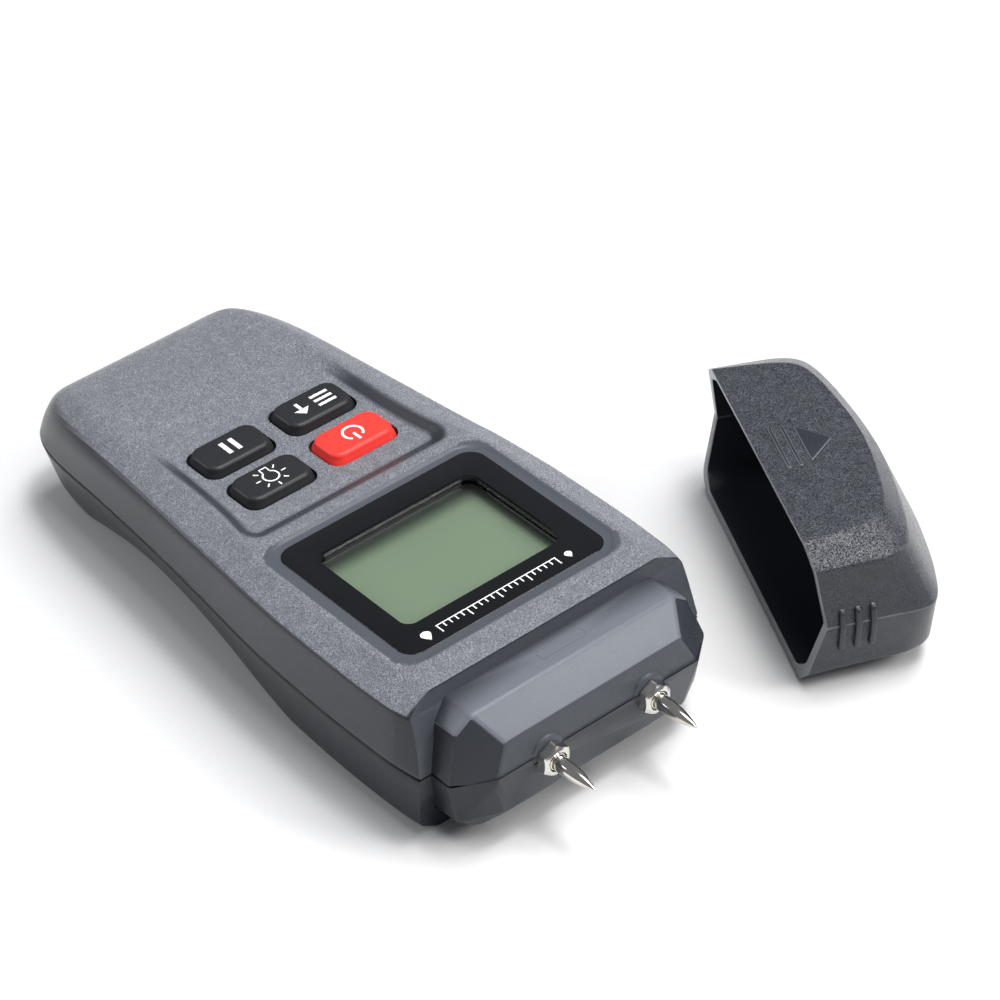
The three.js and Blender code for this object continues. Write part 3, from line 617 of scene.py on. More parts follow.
px, py = KEYS["power"]
ink = {}
ink["power"] = merged("mark_power", [stroke("a", arc(px, py, 1.95, 90 + 38, 450 - 38), 0.5), stroke("b", [(px, py + 0.2), (px, py + 2.5)], 0.55)])
lx, ly = KEYS["light"]
rays = [stroke("r", [(lx + 2.35 * math.cos(t), ly + 2.35 * math.sin(t)), (lx + 3.35 * math.cos(t), ly + 3.35 * math.sin(t))], 0.3) for t in [math.radians(a) for a in (90, 45, 0, -45, 180, 135, 225)]]
ink["light"] = merged("mark_light", rays + [stroke("a", arc(lx, ly, 1.55, -62, 242), 0.32), stroke("b", [(lx - 0.75, ly - 1.55), (lx - 0.75, ly - 2.75), (lx + 0.75, ly - 2.75), (lx + 0.75, ly - 1.55)], 0.3)])
mx, my = KEYS["mode"]
ink["mode"] = merged("mark_mode", [stroke("l%d" % k, [(mx - 4.6 + 0.0 * k, my + dy), (mx - 0.6, my + dy)], 0.7) for k, dy in enumerate((1.5, 0.0, -1.5))]
                     + [stroke("a", [(mx + 2.6, my - 1.85), (mx + 2.6, my + 0.35)], 0.7), prism("h", [(mx + 0.95, my + 0.2), (mx + 4.25, my + 0.2), (mx + 2.6, my + 1.95)], *INK_Z, axis="z")])
hx, hy = KEYS["hold"]
ink["hold"] = merged("mark_hold", [stroke("a", [(hx - 1.05, hy - 1.9), (hx - 1.05, hy + 1.9)], 0.95), stroke("b", [(hx + 1.05, hy - 1.9), (hx + 1.05, hy + 1.9)], 0.95)])

# a plain tick scale on the display frame, in place of words
marks = []
zt = (30.19, 30.232)
for i in range(21):
    x = -13.0 + i * 1.35
    tall = 1.9 if i % 5 == 0 else 1.1
    marks.append(stroke("t", [(x, 15.7), (x, 15.7 + tall)], 0.26, z=zt))
marks.append(stroke("l", [(-13.2, 15.55), (14.2, 15.55)], 0.22, z=zt))
for cx, size in ((-15.6, 0.75), (16.9, 1.05)):
    d = [(cx + size * math.cos(a) * (1 if math.sin(a) < 0 else (1 - math.sin(a)) ** 0.6), 16.35 + size * (math.sin(a) if math.sin(a) < 0 else 1.5 * math.sin(a))) for a in np.linspace(0, 2 * math.pi, 40, endpoint=False)]
    marks.append(prism("d", d, *zt, axis="z"))
scale = merged("scale_marks", marks)

# ---------------------------------------------------------------- pins and collars
pins, collars = {}, {}
PROFILE = [(0, 31.5), (1.35, 31.5), (1.6, 31.8), (1.75, 32.1), (1.75, 44.3), (1.66, 44.42), (1.55, 44.46), (1.5, 44.6), (1.53, 44.8), (1.53, 46.4), (1.51, 47.4), (1.45, 48.4), (1.34, 49.4), (1.17, 50.4),
           (0.95, 51.4), (0.7, 52.35), (0.44, 53.3), (0.2, 53.95), (0.09, 54.14), (0, 54.2)]
for side, s in (("left", -1), ("right", 1)):
    pins[side] = turned("measuring_pin_" + side, PROFILE, 40, "y", (s * PIN_X, 0, SEAM))
    rr = 2.8 / math.cos(math.pi / 6)
    hexa = turned("collar_" + side, [(0, 42.15), (rr, 42.15), (rr, 44.6), (0, 44.6)], 6, "y", (s * PIN_X, 0, SEAM), math.pi / 7)
    hexa = bevel(hexa, 0.06, 2, 20)
    hexa = meet(hexa, turned("m", [(0, 42.1), (2.75, 42.1), (3.6, 42.55), (3.6, 43.6), (2.85, 44.15), (2.42, 44.5), (2.3, 44.55), (0, 44.56)], 64, "y", (s * PIN_X, 0, SEAM)))
    hexa = cut(hexa, turned("m", [(0, 41), (1.9, 41), (1.9, 44.35), (2.05, 44.8), (0, 44.8)], 48, "y", (s * PIN_X, 0, SEAM)))
    collars[side] = hexa

# ---------------------------------------------------------------- protective cap
CT = [(0, [[42.2, 0], [39.6, 17], [38.4, 21], [36.0, 24.6], [30, 27.2], [18, 29.5], [6, 30.9], [0, 31.1]]),
      (5.4, [[49.6, 0], [48.8, 19], [47.6, 24.4], [44.6, 28.6], [37, 31.6], [22, 34.2], [8, 35.6], [0, 35.9]]),
      (23.6, [[52.2, 0], [52.1, 30.3], [51.0, 34.4], [47.5, 37.2], [42, 39.0], [28, 41.6], [10, 43.2], [0, 43.4]]),
      (41.0, [[49.4, 0], [48.8, 27], [47.4, 32.5], [44.4, 36.2], [38, 38.3], [24, 40.4], [9, 41.6], [0, 41.8]]),
      (48.0, [[43.4, 0], [40.6, 22], [39.2, 29.4], [35.9, 34.0], [28.4, 36.1], [17.6, 37.4], [6, 38.2], [0, 38.3]])]


def resample(pts, n):
    p = np.asarray(pts, float)
    d = np.concatenate([[0], np.cumsum(np.linalg.norm(np.diff(p, axis=0), axis=1))])
    q = np.linspace(0, d[-1], n)
    out = np.column_stack([pchip(d, p[:, 0], q), pchip(d, p[:, 1], q)])
    return out


def cap_skin(inset, bottom_extra=0.0, n=64):
    """Loops from the mouth to the closed end: (n, loop, [x, y, z]), grid steps in the cap's own frame."""
    layers = []
    for drop, o in CT:
        o = np.array(o, float)
        k = 0.75 if drop in (0, 48.0) else 1.0
        o[:, 0] = np.maximum(o[:, 0] - inset * k, 0)
        o[:, 1] = np.where(o[:, 1] > 0, o[:, 1] - inset * (1.0 if o.shape[0] else 1), 0)
        o[-1, 0] = 0
        d = inset if drop == 0 else 48.0 - inset - bottom_extra if drop == 48.0 else drop + (0.5 * inset if drop < 10 else -0.4 * inset if drop > 40 else 0)
        r = resample(o, n)
        layers.append(np.column_stack([r[:, 0], r[:, 1], np.full(n, -d)]))
    L = np.array(layers)                              # (5, n, 3)
    top_c, bot_c = L[0].copy(), L[-1].copy()
    top_c[:, 0] = 0
    bot_c[:, 0] = 0
    # pull the middle line in so that the flat faces close smoothly at the end
    top_c[:, 1] = L[0][:, 1]
    bot_c[:, 1] = L[-1][:, 1]
    pts = np.concatenate([[top_c], L, [bot_c]])
    c = 0.75 if inset == 0 else 1.0
    out = fillet(pts, [c, c * 1.1, 0.35, c * 1.6, c * 1.8], [4, 4, 3, 5, 5], [10, 6, 9, 9, 5, 10])
    return out.transpose(1, 0, 2)                     # (n, P, 3)


def cap_mouth(z):
    return np.interp(-z, [0, 0.6, 6, 23.6, 43.5, 48], [0.0, 0.6, 1.3, 3.6, -1.6, -1.6])


def cap_rows(g, reach):
    """Slides the loops nearest the mouth so that they end on the notched rim."""
    g = g.copy()
    y, z = g[:, :, 1], g[:, :, 2]
    m = cap_mouth(z) + reach
    t = np.clip(1 - y / 24.0, 0, 1)
    g[:, :, 1] = y + m * t
    return g


outer, inner = cap_rows(cap_skin(0.0), 0.0), cap_rows(cap_skin(2.0 / G, 1.2), 0.0)
n_l, n_p = outer.shape[:2]


def closed_loops(g):
    left = g[:, 1:-1][:, ::-1].copy()
    left[:, :, 0] *= -1
    return np.concatenate([g, left], axis=1)


lo, li = closed_loops(outer), closed_loops(inner)
# rounded lip between the outer and inner mouth loops
m0, m1 = lo[0], li[0]
lip_rows = []
for a in (30, 60, 90):
    t = math.radians(a)
    lip_rows.append(m0 + (m1 - m0) * 0.16 * (1 - math.cos(t)) - np.array([0, 0.22 * math.sin(t), 0]))
for a in (90, 60, 30):
    t = math.radians(a)
    lip_rows.append(m1 + (m0 - m1) * 0.16 * (1 - math.cos(t)) - np.array([0, 0.22 * math.sin(t), 0]))
loops = np.concatenate([li[::-1], np.array(lip_rows)[::-1], lo], axis=0)
loops = loops * G
loops[:, :, 1] += 0.22 * G
loops[:, :, 2] += CAP_H
cap = tube("cap_body", loops, None, None)
cap = clean(cap, 2e-6)
capz = lambda d: CAP_H - d * G
for s in (1, -1):
    for y in (8.2, 12.7, 17.1):
        rib = hull("rib", [(s * x * G, (y + dy) * G, capz(d)) for dy in (-0.95, 0.95) for x, d in ((49.0, 18.1), (51.3, 18.1), (52.7, 19.3), (53.5, 23.6), (52.15, 32.3), (50.8, 33.3), (49.0, 33.3))])
        rib = bevel(rib, 0.42, 4, 15)
        cap = join(cap, rib)
for y in (7.0, 10.5):
    b = block("b", -9.5 * G, 9.5 * G, (y - 0.55) * G, (y + 0.55) * G, capz(1), capz(-0.38))
    cap = join(cap, bevel(b, 0.12, 2))
tri = prism("t", [(-8.4 * G, 13.8 * G), (8.4 * G, 13.8 * G), (0, 22.4 * G)], capz(1), capz(-0.38), "z")
cap = join(cap, bevel(tri, 0.12, 2))
# move and turn the cap into its place
place = Matrix.Translation((CAP_POS[0] * 0.001, CAP_POS[1] * 0.001, 0)) @ Matrix.Rotation(math.radians(CAP_TURN), 4, "Z")
cap.data.transform(place)

# ---------------------------------------------------------------- screws under the case
screws = []
for i, (x, y) in enumerate(((28, 25), (-28, 25), (24.2, -37.5), (-24.2, -37.5))):
    sc = turned("case_fixing_%d" % (i + 1), [(0, 7.6), (1.7, 7.6), (2.1, 7.75), (2.28, 8.1), (2.3, 9.1), (1.05, 9.25), (1.05, 20.6), (0, 21.4)], 32, "z", (x, y, 0))
    a, b = 1.25, 0.28
    for x0, x1, y0, y1 in ((-a, a, -b, b), (-b, b, -a, a)):
        sc = cut(sc, prism("x", [(x + x0, y + y0), (x + x1, y + y0), (x + x1, y + y1), (x + x0, y + y1)], 7.0, 8.5, "z"))
    screws.append(sc)


# ---------------------------------------------------------------- materials
def new_mat(name):
    m = bpy.data.materials.new(name)
    m.use_nodes = True
    nt = m.node_tree
    bsdf = next(n for n in nt.nodes if n.type == "BSDF_PRINCIPLED")
    return m, nt, bsdf


def node(nt, kind, **kw):
    n = nt.nodes.new(kind)
    for k, v in kw.items():
        if k in n.inputs.keys():
            n.inputs[k].default_value = v
        else:
            setattr(n, k, v)
    return n


def coords(nt):
    return nt.nodes.new("ShaderNodeTexCoord").outputs["Object"]


def plastic(name, colour, rough=0.42, spark=0.0, grain=2900.0, vary=0.06, spec=0.5, attr=None, depth=0.00007, fine=0.15, ridge_glint=(0.3, 0.31, 0.33), smooth_colour=None, smooth_rough=None, painted_highlight=None):
    """Moulded plastic: spark-eroded grain where the attribute is 1, fine satin elsewhere. Lighter lines painted along
    the grain's ridges are a painted highlight, and where a second attribute is 1 a paler tone is painted on as a
    highlight.
    """
    m, nt, b = new_mat(name)
    co = coords(nt)
    lk = nt.links.new
    b.inputs["Specular IOR Level"].default_value = spec
    nz = node(nt, "ShaderNodeTexNoise", Scale=grain, Detail=1.3, Roughness=0.5, Distortion=0.4)
    lk(co, nz.inputs["Vector"])
    off = node(nt, "ShaderNodeMath", operation="SUBTRACT")
    lk(nz.outputs["Fac"], off.inputs[0])
    off.inputs[1].default_value = 0.5
    ab = node(nt, "ShaderNodeMath", operation="ABSOLUTE")
    lk(off.outputs[0], ab.inputs[0])
    patch = node(nt, "ShaderNodeTexNoise", Scale=420.0, Detail=2.0)
    lk(co, patch.inputs["Vector"])
    fine_n = node(nt, "ShaderNodeTexNoise", Scale=9000.0, Detail=2.0)
    lk(co, fine_n.inputs["Vector"])
    big = node(nt, "ShaderNodeTexNoise", Scale=38.0, Detail=4.0)
    lk(co, big.inputs["Vector"])
    # grain height
    h1 = node(nt, "ShaderNodeMath", operation="MULTIPLY_ADD")
    lk(ab.outputs[0], h1.inputs[0])
    h1.inputs[1].default_value = -1.6
    lk(nz.outputs["Fac"], h1.inputs[2])
    mask = None
    if attr:
        at = node(nt, "ShaderNodeAttribute", attribute_name=attr)
        mask = at.outputs["Fac"]
    hm = node(nt, "ShaderNodeMath", operation="MULTIPLY")
    lk(h1.outputs[0], hm.inputs[0])
    if mask is not None:
        lk(mask, hm.inputs[1])
    else:
        hm.inputs[1].default_value = 1.0
    hs = node(nt, "ShaderNodeMath", operation="MULTIPLY_ADD")
    lk(fine_n.outputs["Fac"], hs.inputs[0])
    hs.inputs[1].default_value = fine
    lk(hm.outputs[0], hs.inputs[2])
    bump = node(nt, "ShaderNodeBump", Strength=spark if spark else 0.3, Distance=depth)
    lk(hs.outputs[0], bump.inputs["Height"])
    lk(bump.outputs["Normal"], b.inputs["Normal"])
    # colour: broad drift, plus lighter lines along the grain's ridges, a painted highlight standing in for glints off
    # the grain
    c1 = node(nt, "ShaderNodeMix", data_type="RGBA")
    c1.inputs[6].default_value = (*[c * (1 - vary) for c in colour], 1)
    c1.inputs[7].default_value = (*[min(c * (1 + vary), 1) for c in colour], 1)
    lk(big.outputs["Fac"], c1.inputs[0])
    ramp = node(nt, "ShaderNodeMapRange")
    ramp.inputs["From Min"].default_value = 0.085
    ramp.inputs["From Max"].default_value = 0.01
    lk(ab.outputs[0], ramp.inputs["Value"])
    pk = node(nt, "ShaderNodeMath", operation="MULTIPLY")
    lk(ramp.outputs["Result"], pk.inputs[0])
    if mask is not None:
        lk(mask, pk.inputs[1])
    else:
        pk.inputs[1].default_value = 1.0
    vr = node(nt, "ShaderNodeMapRange")
    vr.inputs["From Min"].default_value = 0.3
    vr.inputs["From Max"].default_value = 0.7
    vr.inputs["To Min"].default_value = 0.55
    vr.inputs["To Max"].default_value = 1.0
    lk(patch.outputs["Fac"], vr.inputs["Value"])
    pk2 = node(nt, "ShaderNodeMath", operation="MULTIPLY")
    lk(pk.outputs[0], pk2.inputs[0])
    lk(vr.outputs["Result"], pk2.inputs[1])
    # painted highlight: the grain's ridge lines are mixed towards a light colour
    c2 = node(nt, "ShaderNodeMix", data_type="RGBA")
    lk(pk2.outputs[0], c2.inputs[0])
    lk(c1.outputs[2], c2.inputs[6])
    c2.inputs[7].default_value = (*ridge_glint, 1)
    out = c2.outputs[2]
    if smooth_colour is not None and mask is not None:
        c3 = node(nt, "ShaderNodeMix", data_type="RGBA")
        lk(mask, c3.inputs[0])
        c4 = node(nt, "ShaderNodeMix", data_type="RGBA")
        c4.inputs[6].default_value = (*[c * (1 - vary * 0.7) for c in smooth_colour], 1)
        c4.inputs[7].default_value = (*[c * (1 + vary * 0.7) for c in smooth_colour], 1)
        lk(big.outputs["Fac"], c4.inputs[0])
        lk(c4.outputs[2], c3.inputs[6])
        lk(out, c3.inputs[7])
        out = c3.outputs[2]
    # painted highlight: where the second attribute is 1, the colour turns to a paler, speckled tone that stands in for
    # light reflected off these faces
    if painted_highlight is not None:
        fa = node(nt, "ShaderNodeAttribute", attribute_name="painted_highlight")
        tiny = node(nt, "ShaderNodeTexNoise", Scale=5200.0, Detail=2.0)
        lk(co, tiny.inputs["Vector"])
        c6 = node(nt, "ShaderNodeMix", data_type="RGBA")
        c6.inputs[6].default_value = (*[c * 0.82 for c in painted_highlight], 1)
        c6.inputs[7].default_value = (*[c * 1.2 for c in painted_highlight], 1)
        lk(tiny.outputs["Fac"], c6.inputs[0])
        c7 = node(nt, "ShaderNodeMix", data_type="RGBA")
        lk(fa.outputs["Fac"], c7.inputs[0])
        lk(out, c7.inputs[6])
        lk(c6.outputs[2], c7.inputs[7])
        out = c7.outputs[2]
    lk(out, b.inputs["Base Color"])
    # roughness: drift, and smoother where there is no grain
    r1 = node(nt, "ShaderNodeMapRange")
    r1.inputs["To Min"].default_value = rough - 0.05
    r1.inputs["To Max"].default_value = rough + 0.06
    lk(nz.outputs["Fac"], r1.inputs["Value"])
    if smooth_rough is not None and mask is not None:
        r2 = node(nt, "ShaderNodeMix", data_type="FLOAT")
        lk(mask, r2.inputs[0])
        r3 = node(nt, "ShaderNodeMapRange")
        r3.inputs["To Min"].default_value = smooth_rough - 0.04
        r3.inputs["To Max"].default_value = smooth_rough + 0.05
        lk(fine_n.outputs["Fac"], r3.inputs["Value"])
        lk(r3.outputs["Result"], r2.inputs[2])
        lk(r1.outputs["Result"], r2.inputs[3])
        lk(r2.outputs[0], b.inputs["Roughness"])
    else:
        lk(r1.outputs["Result"], b.inputs["Roughness"])
    return m


def metal(name, colour, rough=0.12, streak=True, axis=1):
    m, nt, b = new_mat(name)
    lk = nt.links.new
    co = coords(nt)
    b.inputs["Metallic"].default_value = 1.0
    mp = node(nt, "ShaderNodeMapping")
    sc = [260.0, 260.0, 260.0]
    sc[axis] = 9000.0
    mp.inputs["Scale"].default_value = sc
    lk(co, mp.inputs["Vector"])
    n1 = node(nt, "ShaderNodeTexNoise", Scale=1.0, Detail=4.0, Roughness=0.7)
    lk(mp.outputs[0], n1.inputs["Vector"])
    n2 = node(nt, "ShaderNodeTexNoise", Scale=700.0, Detail=3.0)
    lk(co, n2.inputs["Vector"])
    r = node(nt, "ShaderNodeMapRange")
    r.inputs["To Min"].default_value = rough * 0.6
    r.inputs["To Max"].default_value = rough * 1.6
    lk(n1.outputs["Fac"], r.inputs["Value"])
    lk(r.outputs["Result"], b.inputs["Roughness"])
    c = node(nt, "ShaderNodeMix", data_type="RGBA")
    c.inputs[6].default_value = (*[v * 0.82 for v in colour], 1)
    c.inputs[7].default_value = (*[min(v * 1.1, 1) for v in colour], 1)
    lk(n2.outputs["Fac"], c.inputs[0])
    lk(c.outputs[2], b.inputs["Base Color"])
    bump = node(nt, "ShaderNodeBump", Strength=0.12, Distance=0.00001)
    lk(n1.outputs["Fac"], bump.inputs["Height"])
    lk(bump.outputs["Normal"], b.inputs["Normal"])
    return m


def speckled(name, a, c, rough, scale, bump=0.1, spec=0.5, coat=0.0, dist=0.00002):
    """Two close tones broken up by noise, for small and inner pieces."""
    m, nt, b = new_mat(name)
    lk = nt.links.new
    co = coords(nt)
    n1 = node(nt, "ShaderNodeTexNoise", Scale=scale, Detail=4.0, Roughness=0.6)
    lk(co, n1.inputs["Vector"])
    mx_ = node(nt, "ShaderNodeMix", data_type="RGBA")
    mx_.inputs[6].default_value = (*a, 1)
    mx_.inputs[7].default_value = (*c, 1)
    lk(n1.outputs["Fac"], mx_.inputs[0])
    lk(mx_.outputs[2], b.inputs["Base Color"])
    r = node(nt, "ShaderNodeMapRange")
    r.inputs["To Min"].default_value = max(rough - 0.05, 0.02)
    r.inputs["To Max"].default_value = rough + 0.06
    n2 = node(nt, "ShaderNodeTexNoise", Scale=scale * 3.1, Detail=3.0)
    lk(co, n2.inputs["Vector"])
    lk(n2.outputs["Fac"], r.inputs["Value"])
    lk(r.outputs["Result"], b.inputs["Roughness"])
    bp = node(nt, "ShaderNodeBump", Strength=bump, Distance=dist)
    lk(n2.outputs["Fac"], bp.inputs["Height"])
    lk(bp.outputs["Normal"], b.inputs["Normal"])
    b.inputs["Specular IOR Level"].default_value = spec
    b.inputs["Coat Weight"].default_value = coat
    return m


M = {}
# the last colour given to each plastic is the paler tone of its painted highlights
M["front"] = plastic("shell_spark", (0.122, 0.130, 0.150), 0.25, 1.0, attr="spark", ridge_glint=(0.31, 0.325, 0.36), smooth_colour=(0.023, 0.0255, 0.032), smooth_rough=0.26, depth=0.0002, spec=0.25, painted_highlight=(0.13, 0.142, 0.166))
M["rear"] = plastic("shell_under", (0.020, 0.0225, 0.028), 0.34, 0.9, attr="spark", ridge_glint=(0.065, 0.07, 0.082), smooth_colour=(0.016, 0.018, 0.0235), smooth_rough=0.29, depth=0.00015, spec=0.2, painted_highlight=(0.10, 0.11, 0.128))
M["cap"] = plastic("cap_spark", (0.0165, 0.0188, 0.0250), 0.2, 1.0, attr="spark", ridge_glint=(0.105, 0.113, 0.134), smooth_colour=(0.022, 0.025, 0.0335), smooth_rough=0.24, depth=0.0002, spec=0.42, painted_highlight=(0.17, 0.18, 0.198))
M["red"] = speckled("key_red", (0.83, 0.035, 0.028), (0.9, 0.05, 0.038), 0.42, 900, 0.12, 0.35)
M["black_key"] = speckled("key_black", (0.011, 0.012, 0.014), (0.017, 0.018, 0.021), 0.46, 1300, 0.3, 0.4)
M["ink"] = speckled("white_ink", (0.82, 0.82, 0.82), (0.9, 0.9, 0.9), 0.5, 2000, 0.1, 0.3)
M["bezel"] = speckled("gloss_black", (0.0035, 0.004, 0.005), (0.006, 0.0065, 0.008), 0.09, 120, 0.015, 0.5)
M["lcd"] = speckled("lcd_green", (0.180, 0.222, 0.158), (0.207, 0.250, 0.176), 0.35, 30, 0.02, 0.3)
# painted shadow: the LCD's colour darkens towards its back edge and both side edges, standing in for the shadow the
# window frame casts into the well
nt = M["lcd"].node_tree
b = next(n for n in nt.nodes if n.type == "BSDF_PRINCIPLED")
sep = node(nt, "ShaderNodeSeparateXYZ")
nt.links.new(coords(nt), sep.inputs[0])
lcd_painted_shadow = None
for axis, a0, a1, lo_ in ((1, -0.0142, -0.0098, 0.16), (0, -0.0187, -0.0158, 0.3), (0, 0.0186, 0.0170, 0.5)):
    r = node(nt, "ShaderNodeMapRange", interpolation_type="SMOOTHSTEP")
    r.inputs["From Min"].default_value, r.inputs["From Max"].default_value = a0, a1
    r.inputs["To Min"].default_value, r.inputs["To Max"].default_value = lo_, 1.0
    nt.links.new(sep.outputs[axis], r.inputs["Value"])
    if lcd_painted_shadow is None:
        lcd_painted_shadow = r.outputs["Result"]
    else:
        mu = node(nt, "ShaderNodeMath", operation="MULTIPLY")
        nt.links.new(lcd_painted_shadow, mu.inputs[0])
        nt.links.new(r.outputs["Result"], mu.inputs[1])
        lcd_painted_shadow = mu.outputs[0]
src = b.inputs["Base Color"].links[0].from_socket
mc = node(nt, "ShaderNodeMix", data_type="RGBA")
nt.links.new(lcd_painted_shadow, mc.inputs[0])
# colour of the painted shadow at the LCD's edges
mc.inputs[6].default_value = (0.012, 0.016, 0.014, 1)
nt.links.new(src, mc.inputs[7])
nt.links.new(mc.outputs[2], b.inputs["Base Color"])
M["dark"] = speckled("inner_black", (0.010, 0.011, 0.012), (0.016, 0.017, 0.019), 0.5, 1200, 0.2)
M["pin"] = metal("pin_nickel", (0.74, 0.71, 0.66), 0.1)
M["collar"] = metal("collar_nickel", (0.70, 0.68, 0.64), 0.16)
M["steel"] = metal("screw_steel", (0.42, 0.42, 0.44), 0.25, axis=2)
M["brass"] = metal("brass_parts", (0.60, 0.40, 0.14), 0.25)
M["board"] = speckled("board_green", (0.012, 0.10, 0.03), (0.02, 0.14, 0.05), 0.4, 500, 0.2)
M["white"] = speckled("diffuser_white", (0.74, 0.76, 0.70), (0.82, 0.84, 0.78), 0.5, 400, 0.1)
M["chip"] = speckled("chip_black", (0.010, 0.010, 0.011), (0.018, 0.018, 0.019), 0.5, 1500, 0.3)
M["blue"] = speckled("cell_wrap", (0.02, 0.08, 0.24), (0.03, 0.11, 0.30), 0.28, 90, 0.1, 0.5, 0.3)
M["navy"] = speckled("sleeve_blue", (0.02, 0.04, 0.12), (0.03, 0.06, 0.16), 0.3, 300, 0.1)
M["silicone"] = speckled("silicone_grey", (0.03, 0.032, 0.036), (0.05, 0.052, 0.058), 0.55, 800, 0.2)
M["foam"] = speckled("foam_black", (0.016, 0.016, 0.017), (0.04, 0.04, 0.042), 0.9, 2600, 0.8, 0.2, 0.0, 0.0001)

# clear window: mostly see-through, with its own gloss
m, nt, b = new_mat("window_clear")
nt.nodes.remove(b)
outn = next(n for n in nt.nodes if n.type == "OUTPUT_MATERIAL")
tr = node(nt, "ShaderNodeBsdfTransparent")
tr.inputs["Color"].default_value = (0.95, 0.975, 0.96, 1)
gl = node(nt, "ShaderNodeBsdfGlossy")
gl.inputs["Color"].default_value = (1, 1, 1, 1)
n1 = node(nt, "ShaderNodeTexNoise", Scale=160.0, Detail=3.0)
nt.links.new(coords(nt), n1.inputs["Vector"])
rr_ = node(nt, "ShaderNodeMapRange")
rr_.inputs["To Min"].default_value = 0.02
rr_.inputs["To Max"].default_value = 0.06
nt.links.new(n1.outputs["Fac"], rr_.inputs["Value"])
nt.links.new(rr_.outputs["Result"], gl.inputs["Roughness"])
mixs = node(nt, "ShaderNodeMixShader")
mixs.inputs[0].default_value = 0.045
nt.links.new(tr.outputs[0], mixs.inputs[1])
nt.links.new(gl.outputs[0], mixs.inputs[2])
nt.links.new(mixs.outputs[0], outn.inputs["Surface"])
M["window"] = m


def paint_mask(ob, rule, layer="spark"):
    """Writes a per-corner mask, the grain mask or the mask of painted highlights, from each vertex's place and each
    corner's face normal.
    """
    me = ob.data
    nv = len(me.vertices)
    co = np.zeros(nv * 3, np.float32)
    me.vertices.foreach_get("co", co)
    co = co.reshape(-1, 3) * 1000
    at = me.attributes.get(layer) or me.attributes.new(layer, "FLOAT", "CORNER")
    vi = np.zeros(len(me.loops), np.int32)
    me.loops.foreach_get("vertex_index", vi)
    nrm = np.zeros(len(me.polygons) * 3, np.float32)
    me.polygons.foreach_get("normal", nrm)
    nrm = nrm.reshape(-1, 3)
    cnt = np.zeros(len(me.polygons), np.int32)
    me.polygons.foreach_get("loop_total", cnt)
    cn = np.repeat(nrm, cnt, axis=0)
    vals = rule(co[vi], cn).astype(np.float32)
    at.data.foreach_set("value", vals)


def sm(a, b, v):
    t = np.clip((v - a) / (b - a), 0, 1)
    return t * t * (3 - 2 * t)


def round_rect(x, y, w, h, r):
    """Distance outside a rounded rectangle of half sizes w, h."""
    qx, qy = np.abs(x) - w + r, np.abs(y) - h + r
    return np.hypot(np.maximum(qx, 0), np.maximum(qy, 0)) + np.minimum(np.maximum(qx, qy), 0) - r


# painted highlights on the front shell: paler plastic painted on the nose's top, the ring round the display and the
# band behind the nose, standing in for light reflected there
def front_painted_highlight_rule(p, n):
    x, y, z = p[:, 0] / G, p[:, 1] / G, (p[:, 2] - TOP) / G
    nose_top = ((y > 46.3) | ((np.abs(x) < 36.3) & (y > 44.6) & (z > -4.3))) & (n[:, 2] > 0.56) & (z < -3.0) & (z > -13)
    ring = (round_rect(x, y, 39.3, 33.3, 6.5) < 0.05) & (z > -1.2) & (n[:, 2] > 0.2)
    band = (y > 43.2) & (y < 47.2) & (n[:, 1] > 0.3) & (z < -0.5)
    return np.where(nose_top, 1.0, np.where(ring, 0.45, np.where(band, 0.25, nose_painted_highlight(p, n))))


def nose_painted_highlight(p, n):
    """The nose's end faces, painted a little paler than the long sides as a painted highlight."""
    end = (p[:, 1] / G > 47.0) & (n[:, 2] > -0.55) & (n[:, 1] > 0.3)
    return np.where(end, np.where(np.abs(n[:, 0]) < 0.45, 0.32, 0.1), 0.0)


def cap_painted_highlight(p, n):
    """Painted highlights: paler rim of the mouth, edges of the raised marks and mould line of the cap, painted where
    light is reflected.
    """
    t = -math.radians(CAP_TURN)
    ny = n[:, 0] * math.sin(t) + n[:, 1] * math.cos(t)
    q = p - np.array([CAP_POS[0], CAP_POS[1], 0])
    y = (q[:, 0] * math.sin(t) + q[:, 1] * math.cos(t)) / G
    x = (q[:, 0] * math.cos(t) - q[:, 1] * math.sin(t)) / G
    nx = n[:, 0] * math.cos(t) - n[:, 1] * math.sin(t)
    d = (CAP_H - p[:, 2]) / G
    rim = (ny < -0.45) & (y < 6)
    edges = (d < 0.05) & (n[:, 2] < 0.95) & (n[:, 2] > -0.1) & (y > 6) & (y < 23.5)
    parting = (np.abs(n[:, 2]) < 0.14) & (np.abs(nx) > 0.6) & (np.abs(d - 23.6) < 0.6) & (np.abs(x) < 52.3)
    return np.where(rim, 1.0, np.where(edges, 0.9, np.where(parting, 0.5, 0.0)))


def front_rule(p, n):
    x, y, z = p.T / G
    z = (p[:, 2] - TOP) / G
    grain = sm(0.55, 0.8, n[:, 2])
    grain *= 1 - sm(43.0, 43.5, y)
    # the band round the display and the inner slopes of the keypad's hollow are smooth
    grain *= sm(-0.1, 0.15, round_rect(x, y, 39.3, 33.3, 6.5))
    slope = recess(x, np.clip(y, -152, 53)) / np.maximum(pchip(DEPTH[:, 0], DEPTH[:, 1], y), 0.05)
    grain *= 1 - 0.95 * np.clip(3.0 * (1 - np.abs(slope - 0.5) / 0.49), 0, 1) * sm(-96, -78, y) * (y < -30)
    side = sm(0.3, 0.7, np.abs(n[:, 0]))
    return np.clip(grain + 0.12 * side * (n[:, 2] > -0.2) * (y < 40), 0, 1)


def rear_rule(p, n):
    y = p[:, 1] / G
    return np.clip(0.75 * sm(0.5, 0.9, -n[:, 2]) + 0.15, 0, 1) * (1 - sm(43.0, 44.0, y))


